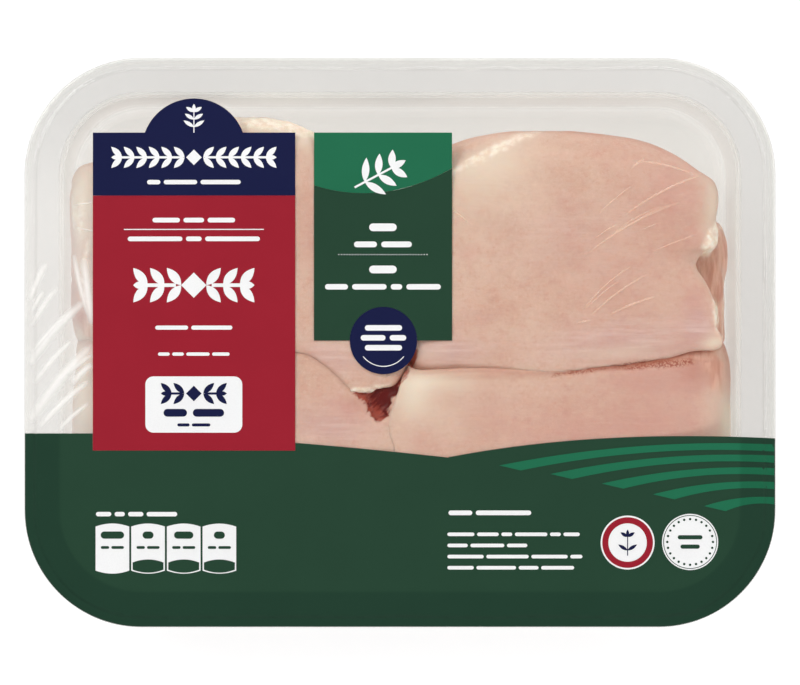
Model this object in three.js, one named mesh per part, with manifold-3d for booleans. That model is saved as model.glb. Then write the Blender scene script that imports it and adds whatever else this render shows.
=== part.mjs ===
// A sealed retail tray of raw boneless, skinless chicken thighs, lying flat with its printed film lid up.
// Four thighs lie side by side in a clear tray. The film is sealed to the tray's rim and printed with
// plain fields of colour. Millimetres, +Z up, +X along the tray, +Y to the side away from the printed band.
// The origin is the middle of the tray's footprint, on the surface that it stands on.
import * as THREE from "three";
import { mergeVertices } from "three/addons/utils/BufferGeometryUtils.js";
import Module from "manifold-3d";

// Driving dimensions of the tray
const TRAY_LENGTH = 273;
const TRAY_WIDTH = 207;
const CORNER_RADIUS = 42.5;
const RIM_HEIGHT = 38;
const RIM_WIDTH = 13;
const SKIRT_DROP = 4.5;
const WALL = 0.8;
const STEP_DROP = 5;
const STEP_WIDTH = 0.7;
const WALL_FOOT_INSET = 16.2;
const WALL_FOOT_HEIGHT = 7;
const FOOT_INSET = 23;
const FOOT_WIDTH = 10;
const PANEL_RISE = 1.8;

// Driving dimensions of the lid
const FILM = 0.4;
const SEAL_GAP = 0.1;
const FILM_RISE = 2.6;
const FILM_EDGE = 0.3;
const PRINT = 0.3;
const PRINT_GAP = 0.1;
const FIELD_GAP = 0.3;

// Driving dimensions of the thighs
const FILM_CLEARANCE = 0.5;
const BED_CLEARANCE = 0.4;
const THIGH_GAP = 0.35;
const WIDEST_HEIGHT = 21;

// Steps round a ring, from the middle of a ring to its edge, and through a loft
const CORNER_STEPS = 6;
const SIDE_STEPS = 3;
const LID_RINGS = 6;
const THIGH_STEPS = 56;
const TOP_RINGS = 7;
const UNDER_RINGS = 5;

const COLOURS = {
  tray: "#dfdfda",
  film: "#eceae4",
  flesh: "#dcb39c",
  navy: "#1e2146",
  maroon: "#9e2635",
  green: "#2b4937",
  leaf: "#28734f",
  white: "#f2f1f0",
};

const wasm = await Module();
wasm.setup();

function solidOf(geometry) {
  const plain = geometry.clone();
  plain.deleteAttribute("normal");
  plain.deleteAttribute("uv");
  const merged = mergeVertices(plain, 1e-4);
  return new wasm.Manifold(
    new wasm.Mesh({
      numProp: 3,
      vertProperties: new Float32Array(merged.attributes.position.array),
      triVerts: new Uint32Array(merged.index.array),
    }),
  );
}

function geometryOf(solid) {
  const mesh = solid.getMesh();
  const geometry = new THREE.BufferGeometry();
  const position = new THREE.BufferAttribute(mesh.vertProperties, mesh.numProp);
  geometry.setAttribute("position", position);
  geometry.setIndex(new THREE.BufferAttribute(mesh.triVerts, 1));
  geometry.computeVertexNormals();
  return geometry;
}

// A closed surface through rings of equal length, from one end point, ring by ring, to the other.
// Rings run anticlockwise seen from above, and the first end is the upper one. From the ring numbered
// fold on, each quad is split the other way, so that a skin's two faces have the same triangles.
function loftRings(start, rings, end, fold = rings.length) {
  const count = rings[0].length;
  const position = [...start, ...rings.flat(2), ...end];
  const last = rings.length * count + 1;
  const at = (ring, k) => 1 + ring * count + (k % count);
  const index = [];
  for (let k = 0; k < count; k++) {
    index.push(0, at(0, k), at(0, k + 1));
    for (let ring = 0; ring < rings.length - 1; ring++) {
      const quad = [at(ring, k), at(ring + 1, k), at(ring + 1, k + 1), at(ring, k + 1)];
      const [a, b, c, d] = ring < fold ? quad : [...quad.slice(1), quad[0]];
      index.push(a, b, c, a, c, d);
    }
    index.push(at(rings.length - 1, k), last, at(rings.length - 1, k + 1));
  }
  const geometry = new THREE.BufferGeometry();
  geometry.setAttribute("position", new THREE.Float32BufferAttribute(position, 3));
  geometry.setIndex(index);
  geometry.computeVertexNormals();
  return geometry;
}

// The rim's outline moved inwards, as [x, y] points that run anticlockwise.
function trayOutline(inset) {
  const radius = CORNER_RADIUS - inset;
  const straight = [TRAY_LENGTH / 2 - CORNER_RADIUS, TRAY_WIDTH / 2 - CORNER_RADIUS];
  const corners = [[1, 1], [-1, 1], [-1, -1], [1, -1]];
  const points = [];
  corners.forEach(([sx, sy], corner) => {
    for (let step = 0; step <= CORNER_STEPS; step++) {
      const angle = (corner + step / CORNER_STEPS) * (Math.PI / 2);
      points.push([
        sx * straight[0] + radius * Math.cos(angle),
        sy * straight[1] + radius * Math.sin(angle),
      ]);
    }
    const [nx, ny] = corners[(corner + 1) % 4];
    const angle = (corner + 1) * (Math.PI / 2);
    const from = points[points.length - 1];
    const to = [
      nx * straight[0] + radius * Math.cos(angle),
      ny * straight[1] + radius * Math.sin(angle),
    ];
    for (let step = 1; step < SIDE_STEPS; step++) {
      const share = step / SIDE_STEPS;
      points.push([from[0] + (to[0] - from[0]) * share, from[1] + (to[1] - from[1]) * share]);
    }
  });
  return points;
}

// The rim's upper face, as [inset, height] points from its outer edge to the wall. The narrow outer
// band lies a little lower than the seal.
const RIM_PROFILE = [
  [FILM_EDGE, RIM_HEIGHT - 1.1],
  [0.9, RIM_HEIGHT - 0.7],
  [3.8, RIM_HEIGHT - 0.6],
  [4.6, RIM_HEIGHT],
  [RIM_WIDTH - 0.8, RIM_HEIGHT],
];

// The tray's upper and inner face, as [inset, height] points from the skirt's edge to the floor panel.
function trayProfile() {
  const step = [RIM_WIDTH + 0.6, RIM_HEIGHT - STEP_DROP];
  const bend = FOOT_INSET - WALL_FOOT_INSET;
  const rise = WALL_FOOT_HEIGHT - WALL;
  return [
    [0, RIM_HEIGHT - SKIRT_DROP],
    [0, RIM_HEIGHT - 1.8],
    ...RIM_PROFILE,
    [RIM_WIDTH, RIM_HEIGHT - 0.3],
    [RIM_WIDTH + 0.3, RIM_HEIGHT - 1],
    step,
    [step[0] + STEP_WIDTH, step[1] - 1],
    [WALL_FOOT_INSET, WALL_FOOT_HEIGHT],
    [WALL_FOOT_INSET + 0.1 * bend, WALL + 0.58 * rise],
    [WALL_FOOT_INSET + 0.32 * bend, WALL + 0.23 * rise],
    [WALL_FOOT_INSET + 0.65 * bend, WALL + 0.05 * rise],
    [FOOT_INSET, WALL],
    [FOOT_INSET + FOOT_WIDTH, WALL],
    [FOOT_INSET + FOOT_WIDTH + 2.5, WALL + PANEL_RISE],
  ];
}

// A profile moved to its right by a distance, square to the line at each point.
function offsetProfile(profile, distance) {
  return profile.map(([inset, z], i) => {
    const before = profile[Math.max(i - 1, 0)];
    const after = profile[Math.min(i + 1, profile.length - 1)];
    const into = new THREE.Vector2(inset - before[0], z - before[1]).normalize();
    const out = new THREE.Vector2(after[0] - inset, after[1] - z).normalize();
    const along = into.clone().add(out).normalize();
    const stretch = 1 / Math.max(along.dot(i ? into : out), 0.5);
    return [inset + along.y * distance * stretch, z - along.x * distance * stretch];
  });
}

function trayShell() {
  const inner = trayProfile();
  const outer = offsetProfile(inner, WALL);
  const ring = ([inset, z]) => trayOutline(inset).map(([x, y]) => [x, y, z]);
  const profile = [...inner.slice().reverse(), ...outer];
  const panel = inner[inner.length - 1][1];
  return loftRings([0, 0, panel], profile.map(ring), [0, 0, outer[outer.length - 1][1]]);
}

// The room inside the tray, less a clearance from its wall and floor, open far above the rim.
function trayRoom(clearance) {
  const inside = trayProfile().filter(([inset]) => inset >= RIM_WIDTH);
  const profile = inside.map(([inset, z]) => [inset + clearance, z + clearance]);
  const ring = ([inset, z]) => trayOutline(inset).map(([x, y]) => [x, y, z]);
  const above = RIM_HEIGHT + 3 * FILM_RISE;
  const rings = [[profile[0][0], above], ...profile].map(ring);
  return solidOf(loftRings([0, 0, above], rings, [0, 0, profile[profile.length - 1][1]]));
}

// How far the film stands above the rim at a point, pushed up by the thighs.
function filmRise(x, y) {
  const length = TRAY_LENGTH / 2 - RIM_WIDTH;
  const width = TRAY_WIDTH / 2 - RIM_WIDTH;
  const out = Math.min((x / length) ** 4 + (y / width) ** 4, 1);
  return FILM_RISE * (1 - out ** 0.75);
}

// A skin over the rim and the opening, from one height above the rim's upper face to another.
function lidSkin(low, high) {
  const rims = RIM_PROFILE.map(([inset, z]) => trayOutline(inset).map(([x, y]) => [x, y, z]));
  const opening = trayOutline(RIM_WIDTH);
  const spans = [];
  for (let ring = LID_RINGS; ring > 0; ring--) {
    const share = ring / LID_RINGS;
    spans.push(opening.map(([x, y]) => [
      x * share,
      y * share,
      RIM_HEIGHT + filmRise(x * share, y * share),
    ]));
  }
  const rings = [...rims, ...spans];
  const lift = (list, by) => list.map((ring) => ring.map(([x, y, z]) => [x, y, z + by]));
  const middle = RIM_HEIGHT + filmRise(0, 0);
  const faces = [...lift(rings.slice().reverse(), high), ...lift(rings, low)];
  return loftRings([0, 0, middle + high], faces, [0, 0, middle + low], rings.length);
}

// The printed fields, as outlines on the lid seen from above
const LABEL = { left: -111.5, right: -38, top: 76.2, middle: 53.3, bottom: -39.2 };
const DOME = { x: -74.8, y: 69.6, radius: 19 };
const CLAIM = { left: -31.2, right: 18.9, top: 76.2, bottom: 0.7 };
const BADGE = { x: -6, y: 0.7, radius: 12.2 };
const BAND = {
  left: -33,
  leftBend: [-62, -33],
  valley: [17.2, -41.7],
  rightBend: [70, -31.4],
  right: -34.8,
};
const CLAIM_ARC = { left: 57, middle: 54.6, right: 63.2 };
const WINDOW = { x: -74.8, y: -22.5, width: 35.2, height: 20.4, corner: 2.9 };
const TABS = { left: -110.5, bottom: -82.8, width: 12.2, height: 16, pitch: 12.95, count: 4, bulge: 1.1 };
const SEALS = [{ x: 82.6, y: -72.6, radius: 9.8 }, { x: 105.3, y: -72.4, radius: 10.2 }];

function rectangle(left, bottom, right, top) {
  const shape = new THREE.Shape();
  shape.moveTo(left, bottom).lineTo(right, bottom).lineTo(right, top).lineTo(left, top);
  return shape;
}

function disc(x, y, radius) {
  return new THREE.Shape().absarc(x, y, radius, 0, Math.PI * 2);
}

function windowShape() {
  const [x, y] = [WINDOW.width / 2, WINDOW.height / 2];
  const r = WINDOW.corner;
  const shape = new THREE.Shape();
  shape.moveTo(-x + r, -y).lineTo(x - r, -y).absarc(x - r, -y + r, r, -Math.PI / 2, 0);
  shape.lineTo(x, y - r).absarc(x - r, y - r, r, 0, Math.PI / 2);
  shape.lineTo(-x + r, y).absarc(-x + r, y - r, r, Math.PI / 2, Math.PI);
  shape.lineTo(-x, -y + r).absarc(-x + r, -y + r, r, Math.PI, Math.PI * 1.5);
  return shape;
}

// A tab is a barrel: its upper and lower ends bulge.
function tabShape(left) {
  const { bottom, width, height, bulge } = TABS;
  const shape = new THREE.Shape();
  shape.moveTo(left, bottom).quadraticCurveTo(left + width / 2, bottom - 2 * bulge, left + width, bottom);
  shape.lineTo(left + width, bottom + height);
  shape.quadraticCurveTo(left + width / 2, bottom + height + 2 * bulge, left, bottom + height);
  return shape;
}

// The band's upper edge is two low hills that meet in a valley.
function bandShape() {
  const edge = TRAY_LENGTH / 2 + 1;
  const shape = new THREE.Shape();
  shape.moveTo(-edge, -TRAY_WIDTH / 2 - 1).lineTo(edge, -TRAY_WIDTH / 2 - 1);
  shape.lineTo(edge, BAND.right);
  shape.quadraticCurveTo(...BAND.rightBend, ...BAND.valley);
  shape.quadraticCurveTo(...BAND.leftBend, LABEL.left, BAND.left).lineTo(-edge, BAND.left);
  return shape;
}

// The upper part of the claim panel, down to a shallow arc.
function claimTopShape(gap) {
  const shape = new THREE.Shape();
  shape.moveTo(CLAIM.left, CLAIM_ARC.left + gap);
  shape.quadraticCurveTo(
    (CLAIM.left + CLAIM.right) / 2,
    2 * CLAIM_ARC.middle - (CLAIM_ARC.left + CLAIM_ARC.right) / 2 + gap,
    CLAIM.right,
    CLAIM_ARC.right + gap,
  );
  shape.lineTo(CLAIM.right, CLAIM.top).lineTo(CLAIM.left, CLAIM.top);
  return shape;
}

function prism(shape, curveSegments = 20) {
  const depth = 3 * FILM_RISE + 6;
  const geometry = new THREE.ExtrudeGeometry(shape, { depth, bevelEnabled: false, curveSegments });
  geometry.translate(0, 0, RIM_HEIGHT - 4);
  return solidOf(geometry);
}

// White fields lie over the coloured ones.
function whiteFields() {
  const low = SEAL_GAP + FILM + PRINT + 2 * PRINT_GAP;
  const skin = solidOf(lidSkin(low, low + PRINT));
  const fields = { label_window: prism(windowShape(), 4).translate([WINDOW.x, WINDOW.y, 0]) };
  for (let i = 0; i < TABS.count; i++)
    fields[`band_tab_${i + 1}`] = prism(tabShape(TABS.left + i * TABS.pitch), 6);
  SEALS.forEach(({ x, y, radius }, i) => {
    fields[`band_seal_${i + 1}`] = prism(disc(x, y, radius), 12);
  });
  return Object.fromEntries(Object.entries(fields).map(([name, tool]) => [name, skin.intersect(tool)]));
}

function printedFields() {
  const low = SEAL_GAP + FILM + PRINT_GAP;
  const skin = solidOf(lidSkin(low, low + PRINT));
  const gap = FIELD_GAP;
  const label = rectangle(LABEL.left, LABEL.bottom, LABEL.right, LABEL.middle);
  const labelRoom = rectangle(LABEL.left - gap, LABEL.bottom - gap, LABEL.right + gap, LABEL.middle);
  const cap = rectangle(LABEL.left, LABEL.middle + gap, LABEL.right, LABEL.top);
  const claim = rectangle(CLAIM.left, CLAIM.bottom, CLAIM.right, CLAIM.top);
  const badgeRoom = prism(disc(BADGE.x, BADGE.y, BADGE.radius + gap));
  const dome = prism(disc(DOME.x, DOME.y, DOME.radius)).subtract(
    prism(rectangle(LABEL.left, DOME.y - DOME.radius - 1, LABEL.right, LABEL.top - 1)),
  );
  const cut = (tool) => skin.intersect(tool);
  return {
    label_panel: cut(prism(label)),
    label_cap: cut(prism(cap).add(dome)),
    claim_panel: cut(prism(claim).subtract(prism(claimTopShape(-gap))).subtract(badgeRoom)),
    claim_top: cut(prism(claimTopShape(0))),
    badge: cut(prism(disc(BADGE.x, BADGE.y, BADGE.radius))),
    print_band: cut(prism(bandShape()).subtract(prism(labelRoom))),
  };
}

// The thighs. Each is a slab that the film presses flat, with a rounded edge. half is half its length
// and width, square how square its corners are, and turn its turn in degrees. A swell pushes the
// outline out, or in where it is negative, by reach around an angle in degrees. A dip lowers the top.
const THIGHS = {
  thigh_upper_right: {
    centre: [61, 33], half: [56, 44], square: 3.2, turn: 0,
    swells: [
      { angle: 38, width: 16, reach: 3 }, { angle: -2, width: 9, reach: -7.5 },
      { angle: -36, width: 12, reach: 0.5 }, { angle: 140, width: 22, reach: -4 },
      { angle: 219, width: 13, reach: 8 }, { angle: 190, width: 14, reach: -1.5 },
    ],
    dips: [{ at: [84, 52], width: 17, depth: 0.7 }, { at: [40, 16], width: 20, depth: 0.6 }],
    flap: { centre: [101, 19], half: [18.6, 25], square: 2.4, top: 25 },
  },
  thigh_upper_left: {
    centre: [-58, 38], half: [62.5, 42], square: 3.4, turn: -3,
    swells: [
      { angle: -43, width: 12, reach: 21 }, { angle: -110, width: 30, reach: -2.5 },
      { angle: 146, width: 16, reach: -6 }, { angle: 60, width: 20, reach: 1.5 },
    ],
    dips: [{ at: [-30, 30], width: 22, depth: 0.8 }, { at: [-95, 55], width: 18, depth: 0.7 }],
  },
  thigh_lower_right: {
    centre: [58, -50], half: [62.5, 38.5], square: 3.4, turn: 2,
    swells: [
      { angle: 149, width: 10, reach: 5 }, { angle: 186, width: 16, reach: -2 },
      { angle: 31, width: 15, reach: 10.5 }, { angle: 100, width: 40, reach: 1 },
    ],
    dips: [{ at: [30, -60], width: 20, depth: 0.6 }, { at: [92, -28], width: 14, depth: 0.9 }],
  },
  thigh_lower_left: {
    centre: [-61, -43], half: [59, 45], square: 3.2, turn: -5,
    swells: [
      { angle: 36, width: 12, reach: -2.5 }, { angle: 140, width: 26, reach: -3 },
      { angle: -140, width: 18, reach: -2 }, { angle: -30, width: 18, reach: -2 },
    ],
    dips: [{ at: [-11, -24], width: 7.5, depth: 11 }, { at: [-80, -50], width: 24, depth: 0.7 }],
  },
};

// The distance from a slab's centre to its edge, at an angle in radians.
function edgeDistance({ half, square, swells = [] }, angle) {
  const along = Math.abs(Math.cos(angle) / half[0]) ** square;
  const across = Math.abs(Math.sin(angle) / half[1]) ** square;
  const swell = swells.reduce((sum, { angle: at, width, reach }) => {
    const away = THREE.MathUtils.euclideanModulo(THREE.MathUtils.radToDeg(angle) - at + 180, 360) - 180;
    return sum + reach * Math.exp(-((away / width) ** 2));
  }, 0);
  return (along + across) ** (-1 / square) + swell;
}

// The highest that flesh may reach at a point: just under the film, less the slab's own dips.
function topHeight(slab, x, y) {
  const dip = (slab.dips ?? []).reduce((sum, { at, width, depth }) => {
    const away = Math.hypot(x - at[0], y - at[1]) / width;
    return sum + depth * Math.exp(-(away ** 2));
  }, 0);
  const film = RIM_HEIGHT + SEAL_GAP + filmRise(x, y) - FILM_CLEARANCE;
  return (slab.top ?? film) - dip;
}

// A slab's solid. grow widens it on every side, to cut room for it in a neighbour.
function slabSolid(slab, grow = 0) {
  const floor = WALL + PANEL_RISE + BED_CLEARANCE - grow;
  const turn = THREE.MathUtils.degToRad(slab.turn ?? 0);
  const widest = Math.min(WIDEST_HEIGHT, (slab.top ?? RIM_HEIGHT) * 0.6);
  const [cx, cy] = slab.centre;
  const ring = (share, height) => {
    const points = [];
    for (let k = 0; k < THIGH_STEPS; k++) {
      const angle = (k / THIGH_STEPS) * Math.PI * 2;
      const distance = (edgeDistance(slab, angle) + grow) * share;
      const x = cx + distance * Math.cos(angle + turn);
      const y = cy + distance * Math.sin(angle + turn);
      points.push([x, y, height(x, y)]);
    }
    return points;
  };
  const rings = [];
  for (let i = 1; i <= TOP_RINGS; i++) {
    const share = Math.sin((i / TOP_RINGS) * (Math.PI / 2));
    const fullness = Math.sqrt(Math.max(1 - share ** 6, 0));
    rings.push(ring(share, (x, y) => widest + (topHeight(slab, x, y) + grow - widest) * fullness));
  }
  for (let i = UNDER_RINGS - 1; i >= 1; i--) {
    const share = Math.sin((i / UNDER_RINGS) * (Math.PI / 2));
    const fullness = Math.sqrt(1 - share ** 5);
    rings.push(ring(share, () => widest + (floor - widest) * fullness));
  }
  return solidOf(loftRings([cx, cy, topHeight(slab, cx, cy) + grow], rings, [cx, cy, floor]));
}

function thighSolid(name, grow = 0) {
  const { flap, ...slab } = THIGHS[name];
  const main = slabSolid(slab, grow);
  return flap ? main.add(slabSolid(flap, grow)) : main;
}

// Each thigh gives way to the tray, and to those thighs that lie over its edges.
function thighSolids() {
  const room = trayRoom(BED_CLEARANCE);
  const over = {
    thigh_upper_right: [],
    thigh_upper_left: ["thigh_upper_right"],
    thigh_lower_right: ["thigh_upper_right", "thigh_upper_left"],
    thigh_lower_left: ["thigh_upper_right", "thigh_upper_left", "thigh_lower_right"],
  };
  return Object.fromEntries(
    Object.entries(over).map(([name, above]) => [
      name,
      above.reduce(
        (left, other) => left.subtract(thighSolid(other, THIGH_GAP)),
        thighSolid(name).intersect(room),
      ),
    ]),
  );
}

function piece(name, geometry, colour, look = {}) {
  const material = new THREE.MeshStandardMaterial({ color: colour, roughness: 0.4, ...look });
  const mesh = new THREE.Mesh(geometry, material);
  mesh.name = name;
  return mesh;
}

const clear = { transparent: true, opacity: 0.25, roughness: 0.15 };
const printColours = {
  label_panel: COLOURS.maroon,
  label_cap: COLOURS.navy,
  claim_panel: COLOURS.green,
  claim_top: COLOURS.leaf,
  badge: COLOURS.navy,
  print_band: COLOURS.green,
};

const pack = new THREE.Group();
pack.add(piece("tray", trayShell(), COLOURS.tray, clear));
pack.add(piece("film", lidSkin(SEAL_GAP, SEAL_GAP + FILM), COLOURS.film, clear));
for (const [name, solid] of Object.entries(thighSolids()))
  pack.add(piece(name, geometryOf(solid), COLOURS.flesh));
for (const [name, solid] of Object.entries({ ...printedFields(), ...whiteFields() }))
  pack.add(piece(name, geometryOf(solid), printColours[name] ?? COLOURS.white));

export default pack;
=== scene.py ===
"""The look of a sealed tray of raw boneless, skinless chicken thighs under a printed film lid.

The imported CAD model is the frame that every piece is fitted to. Shapes are worked out in
millimetres, and meshes are made in metres.
"""

import math
from types import SimpleNamespace as Sizes

import bpy
import numpy as np
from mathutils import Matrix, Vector
from mathutils.bvhtree import BVHTree
from mathutils.geometry import delaunay_2d_cdt


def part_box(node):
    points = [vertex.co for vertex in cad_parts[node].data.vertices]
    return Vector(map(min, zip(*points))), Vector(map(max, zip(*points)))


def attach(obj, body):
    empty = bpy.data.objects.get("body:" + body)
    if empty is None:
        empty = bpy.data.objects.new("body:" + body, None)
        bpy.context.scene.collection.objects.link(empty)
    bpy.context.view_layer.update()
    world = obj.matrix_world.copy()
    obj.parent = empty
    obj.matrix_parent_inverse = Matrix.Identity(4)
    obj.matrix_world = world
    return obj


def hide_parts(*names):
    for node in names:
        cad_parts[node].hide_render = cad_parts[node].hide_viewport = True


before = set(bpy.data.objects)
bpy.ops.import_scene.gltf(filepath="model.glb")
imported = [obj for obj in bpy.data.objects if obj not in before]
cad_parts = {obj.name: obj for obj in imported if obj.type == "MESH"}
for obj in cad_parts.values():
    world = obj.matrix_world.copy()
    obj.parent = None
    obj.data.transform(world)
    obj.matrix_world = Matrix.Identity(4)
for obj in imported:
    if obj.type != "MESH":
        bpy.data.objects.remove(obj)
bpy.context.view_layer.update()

MM = 0.001
ROOT = "root"

# The tray, as the CAD model has it
TRAY_LOW, TRAY_HIGH = (np.array(corner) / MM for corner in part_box("tray"))
TRAY_LENGTH, TRAY_WIDTH, RIM_HEIGHT = TRAY_HIGH - TRAY_LOW
CORNER_RADIUS = 42.5
RIM_WIDTH = 13
SKIRT_DROP = 4.5
WALL = 0.8
STEP_DROP = 5
STEP_WIDTH = 0.7
WALL_FOOT_INSET = 16.2
WALL_FOOT_HEIGHT = 7
FOOT_INSET = 23
FOOT_WIDTH = 10
PANEL_RISE = 1.8
WALL_FOOT_BEND = [(0, 1), (0.1, 0.58), (0.32, 0.23), (0.65, 0.05), (1, 0)]
RIM_PROFILE = [
    (0.3, RIM_HEIGHT - 1.1),
    (0.9, RIM_HEIGHT - 0.7),
    (3.8, RIM_HEIGHT - 0.6),
    (4.6, RIM_HEIGHT),
    (RIM_WIDTH - 0.8, RIM_HEIGHT),
]

# The lid
FILM_EDGE = 0.3
FILM_RISE = 2.6
SEAL_GAP = 0.1
FILM = 0.1
INK = 0.05
INK_GAP = 0.02
GRID = 1.5
SAG = 0.0012
SETTLE_STEPS = 1500
HELD_OVER_FLESH = 0.12
SHEET_SPACING = 2.0
CREASE_STEP = 0.7
FINE_OUTLINE = dict(corner_steps=36, side_step=1.6)

# The thighs
FILM_CLEARANCE = 0.5
BED_CLEARANCE = 0.4
THIGH_PRESS = 1.4
WIDEST_HEIGHT = 21
MOST_LIFT = 19
VOXEL = 0.9
CAVITY_DEPTH = 2.5
CUTTER_HEIGHT = RIM_HEIGHT + 12
TOP_ROUNDNESS = 7
UNDER_ROUNDNESS = 5
SEAM_REACH = 12
SEAM_DEPTH, WIDE_SEAM_DEPTH = 0.08, 0.7
# Painted shade: how strongly the seams are painted reddish brown, and how much more along the wide one.
SEAM_SHADE, WIDE_SEAM_SHADE = 0.3, 0.5
FAR_AWAY = 99.0
BATCH = 4000

# Camera, its height in metres: the photo shows the tray's length across 752 of its 800 pixels
PHOTO_WIDTH = 800
TRAY_PIXELS = 752
CAMERA_HEIGHT = 2.2
SENSOR = 36.0


def srgb(red, green, blue):
    """A colour of the photo's kind, 0 to 255 a channel, as linear values with alpha."""
    values = np.array([red, green, blue]) / 255
    linear = np.where(values <= 0.04045, values / 12.92, ((values + 0.055) / 1.055) ** 2.4)
    return (*linear.tolist(), 1.0)


def smooth(value, low, high):
    """0 below low, 1 above high, and an even curve between."""
    share = np.clip((np.asarray(value, float) - low) / (high - low), 0, 1)
    return share * share * (3 - 2 * share)


def lattice_noise(points, size, seed):
    """Smooth noise from -1 to 1, whose lumps are about size across."""
    cell = np.asarray(points, float) / size + 500
    base = np.floor(cell).astype(np.int64)
    part = cell - base
    ease = part * part * (3 - 2 * part)
    total = np.zeros(len(cell))
    for corner in np.ndindex(2, 2, 2):
        at = base + corner
        mixed = at[:, 0] * 73856093 ^ at[:, 1] * 19349663 ^ at[:, 2] * 83492791 ^ (seed * 7919)
        mixed = ((mixed ^ (mixed >> 13)) * 1274126177) & 0xFFFFFFFF
        value = ((mixed ^ (mixed >> 15)) & 0xFFFF) / 32767.5 - 1
        weight = np.prod(np.where(corner, ease, 1 - ease), axis=1)
        total += weight * value
    return total


def layered_noise(points, size, seed, layers=3):
    total = np.zeros(len(points))
    for layer in range(layers):
        total += lattice_noise(points, size / 2**layer, seed + layer) / 2**layer
    return total


# Meshes


def place_object(name, data):
    placed = bpy.data.objects.new(name, data)
    bpy.context.scene.collection.objects.link(placed)
    return placed


def make_piece(name, points, faces, sharp=None):
    """An object whose mesh has these points, in millimetres, shaded smooth up to a sharp angle."""
    mesh = bpy.data.meshes.new(name)
    mesh.from_pydata((np.asarray(points) * MM).tolist(), [], [tuple(face) for face in faces])
    mesh.update()
    mesh.polygons.foreach_set("use_smooth", np.ones(len(mesh.polygons), bool))
    if sharp is not None:
        mesh.set_sharp_from_angle(angle=math.radians(sharp))
    return place_object(name, mesh)


def finish_piece(piece, slot, material, *nodes):
    piece.data.materials.clear()
    piece.data.materials.append(material)
    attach(piece, ROOT)
    if nodes:
        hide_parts(*nodes)


def apply_modifiers(piece):
    graph = bpy.context.evaluated_depsgraph_get()
    mesh = bpy.data.meshes.new_from_object(piece.evaluated_get(graph))
    piece.modifiers.clear()
    old = piece.data
    piece.data = mesh
    bpy.data.meshes.remove(old)
    mesh.name = piece.name


def add_modifier(piece, kind, **settings):
    modifier = piece.modifiers.new(kind.lower(), kind)
    for key, value in settings.items():
        setattr(modifier, key, value)


def combine(piece, other, operation):
    add_modifier(piece, "BOOLEAN", operation=operation, solver="MANIFOLD", object=other)
    apply_modifiers(piece)


def point_values(piece, key):
    values = np.empty(len(piece.data.vertices) * 3)
    piece.data.vertices.foreach_get(key, values)
    return values.reshape(-1, 3)


def coordinates(piece):
    """The mesh's points in millimetres."""
    return point_values(piece, "co") / MM


def move_points(piece, points):
    piece.data.vertices.foreach_set("co", (points * MM).ravel())
    piece.data.update()


def paint(piece, name, values):
    """Stores a value for each point, which a material reads by its name."""
    attribute = piece.data.attributes.new(name, "FLOAT", "POINT")
    attribute.data.foreach_set("value", np.asarray(values, np.float32))


def loft(rings, start, end):
    """Points and faces of a closed surface from one end point, ring by ring, to the other."""
    count = len(rings[0])
    points = [start, *(point for ring in rings for point in ring), end]
    last = len(points) - 1
    step = [(k, (k + 1) % count) for k in range(count)]
    faces = [(0, 1 + a, 1 + b) for a, b in step]
    for here in range(1, last - count, count):
        after = here + count
        faces += [(here + a, after + a, after + b, here + b) for a, b in step]
    faces += [(last - count + a, last, last - count + b) for a, b in step]
    return points, faces


# The tray


def tray_inset(x, y):
    """How far inside the tray's outline a point is, seen from above."""
    across = np.abs(x) - (TRAY_LENGTH / 2 - CORNER_RADIUS)
    along = np.abs(y) - (TRAY_WIDTH / 2 - CORNER_RADIUS)
    outside = np.hypot(np.maximum(across, 0), np.maximum(along, 0))
    return CORNER_RADIUS - outside - np.minimum(np.maximum(across, along), 0)


def tray_outline(inset, corner_steps=24, side_step=8.0):
    """The rim's outline moved inwards, as points that run anticlockwise."""
    radius = CORNER_RADIUS - inset
    middle = np.array([TRAY_LENGTH / 2, TRAY_WIDTH / 2]) - CORNER_RADIUS
    points = []
    for corner, signs in enumerate([(1, 1), (-1, 1), (-1, -1), (1, -1)]):
        centre = middle * signs
        for step in range(corner_steps + 1):
            angle = (corner + step / corner_steps) * math.pi / 2
            points.append(centre + radius * np.array([math.cos(angle), math.sin(angle)]))
        length = 2 * middle[corner % 2]
        direction = np.array([(-1, 0), (0, -1), (1, 0), (0, 1)][corner])
        steps = int(round(length / side_step))
        start = points[-1]
        points += [start + direction * length * step / steps for step in range(1, steps)]
    return np.array(points)


def rounded(profile, radius):
    """A profile whose corners are eased by short curves."""
    eased = [profile[:1]]
    for before, here, after in zip(profile, profile[1:], profile[2:]):
        into, out = here - before, after - here
        start = here - into * min(radius / np.linalg.norm(into), 0.5)
        stop = here + out * min(radius / np.linalg.norm(out), 0.5)
        eased.append(bend(start, here, stop, 3))
    return np.vstack([*eased, profile[-1:]])


def tray_profile():
    """The tray's upper and inner face, as (inset, height) from the skirt's edge to the floor panel."""
    step = (RIM_WIDTH + 0.6, RIM_HEIGHT - STEP_DROP)
    reach = FOOT_INSET - WALL_FOOT_INSET
    rise = WALL_FOOT_HEIGHT - WALL
    panel = FOOT_INSET + FOOT_WIDTH
    return np.array([
        (0, RIM_HEIGHT - SKIRT_DROP),
        (0, RIM_HEIGHT - 1.8),
        *RIM_PROFILE,
        (RIM_WIDTH, RIM_HEIGHT - 0.3),
        (RIM_WIDTH + 0.3, RIM_HEIGHT - 1),
        step,
        (step[0] + STEP_WIDTH, step[1] - 1),
        *((WALL_FOOT_INSET + across * reach, WALL + up * rise) for across, up in WALL_FOOT_BEND),
        (panel, WALL),
        (panel + 2.5, WALL + PANEL_RISE),
        (panel + 6, WALL + PANEL_RISE),
    ])


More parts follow.
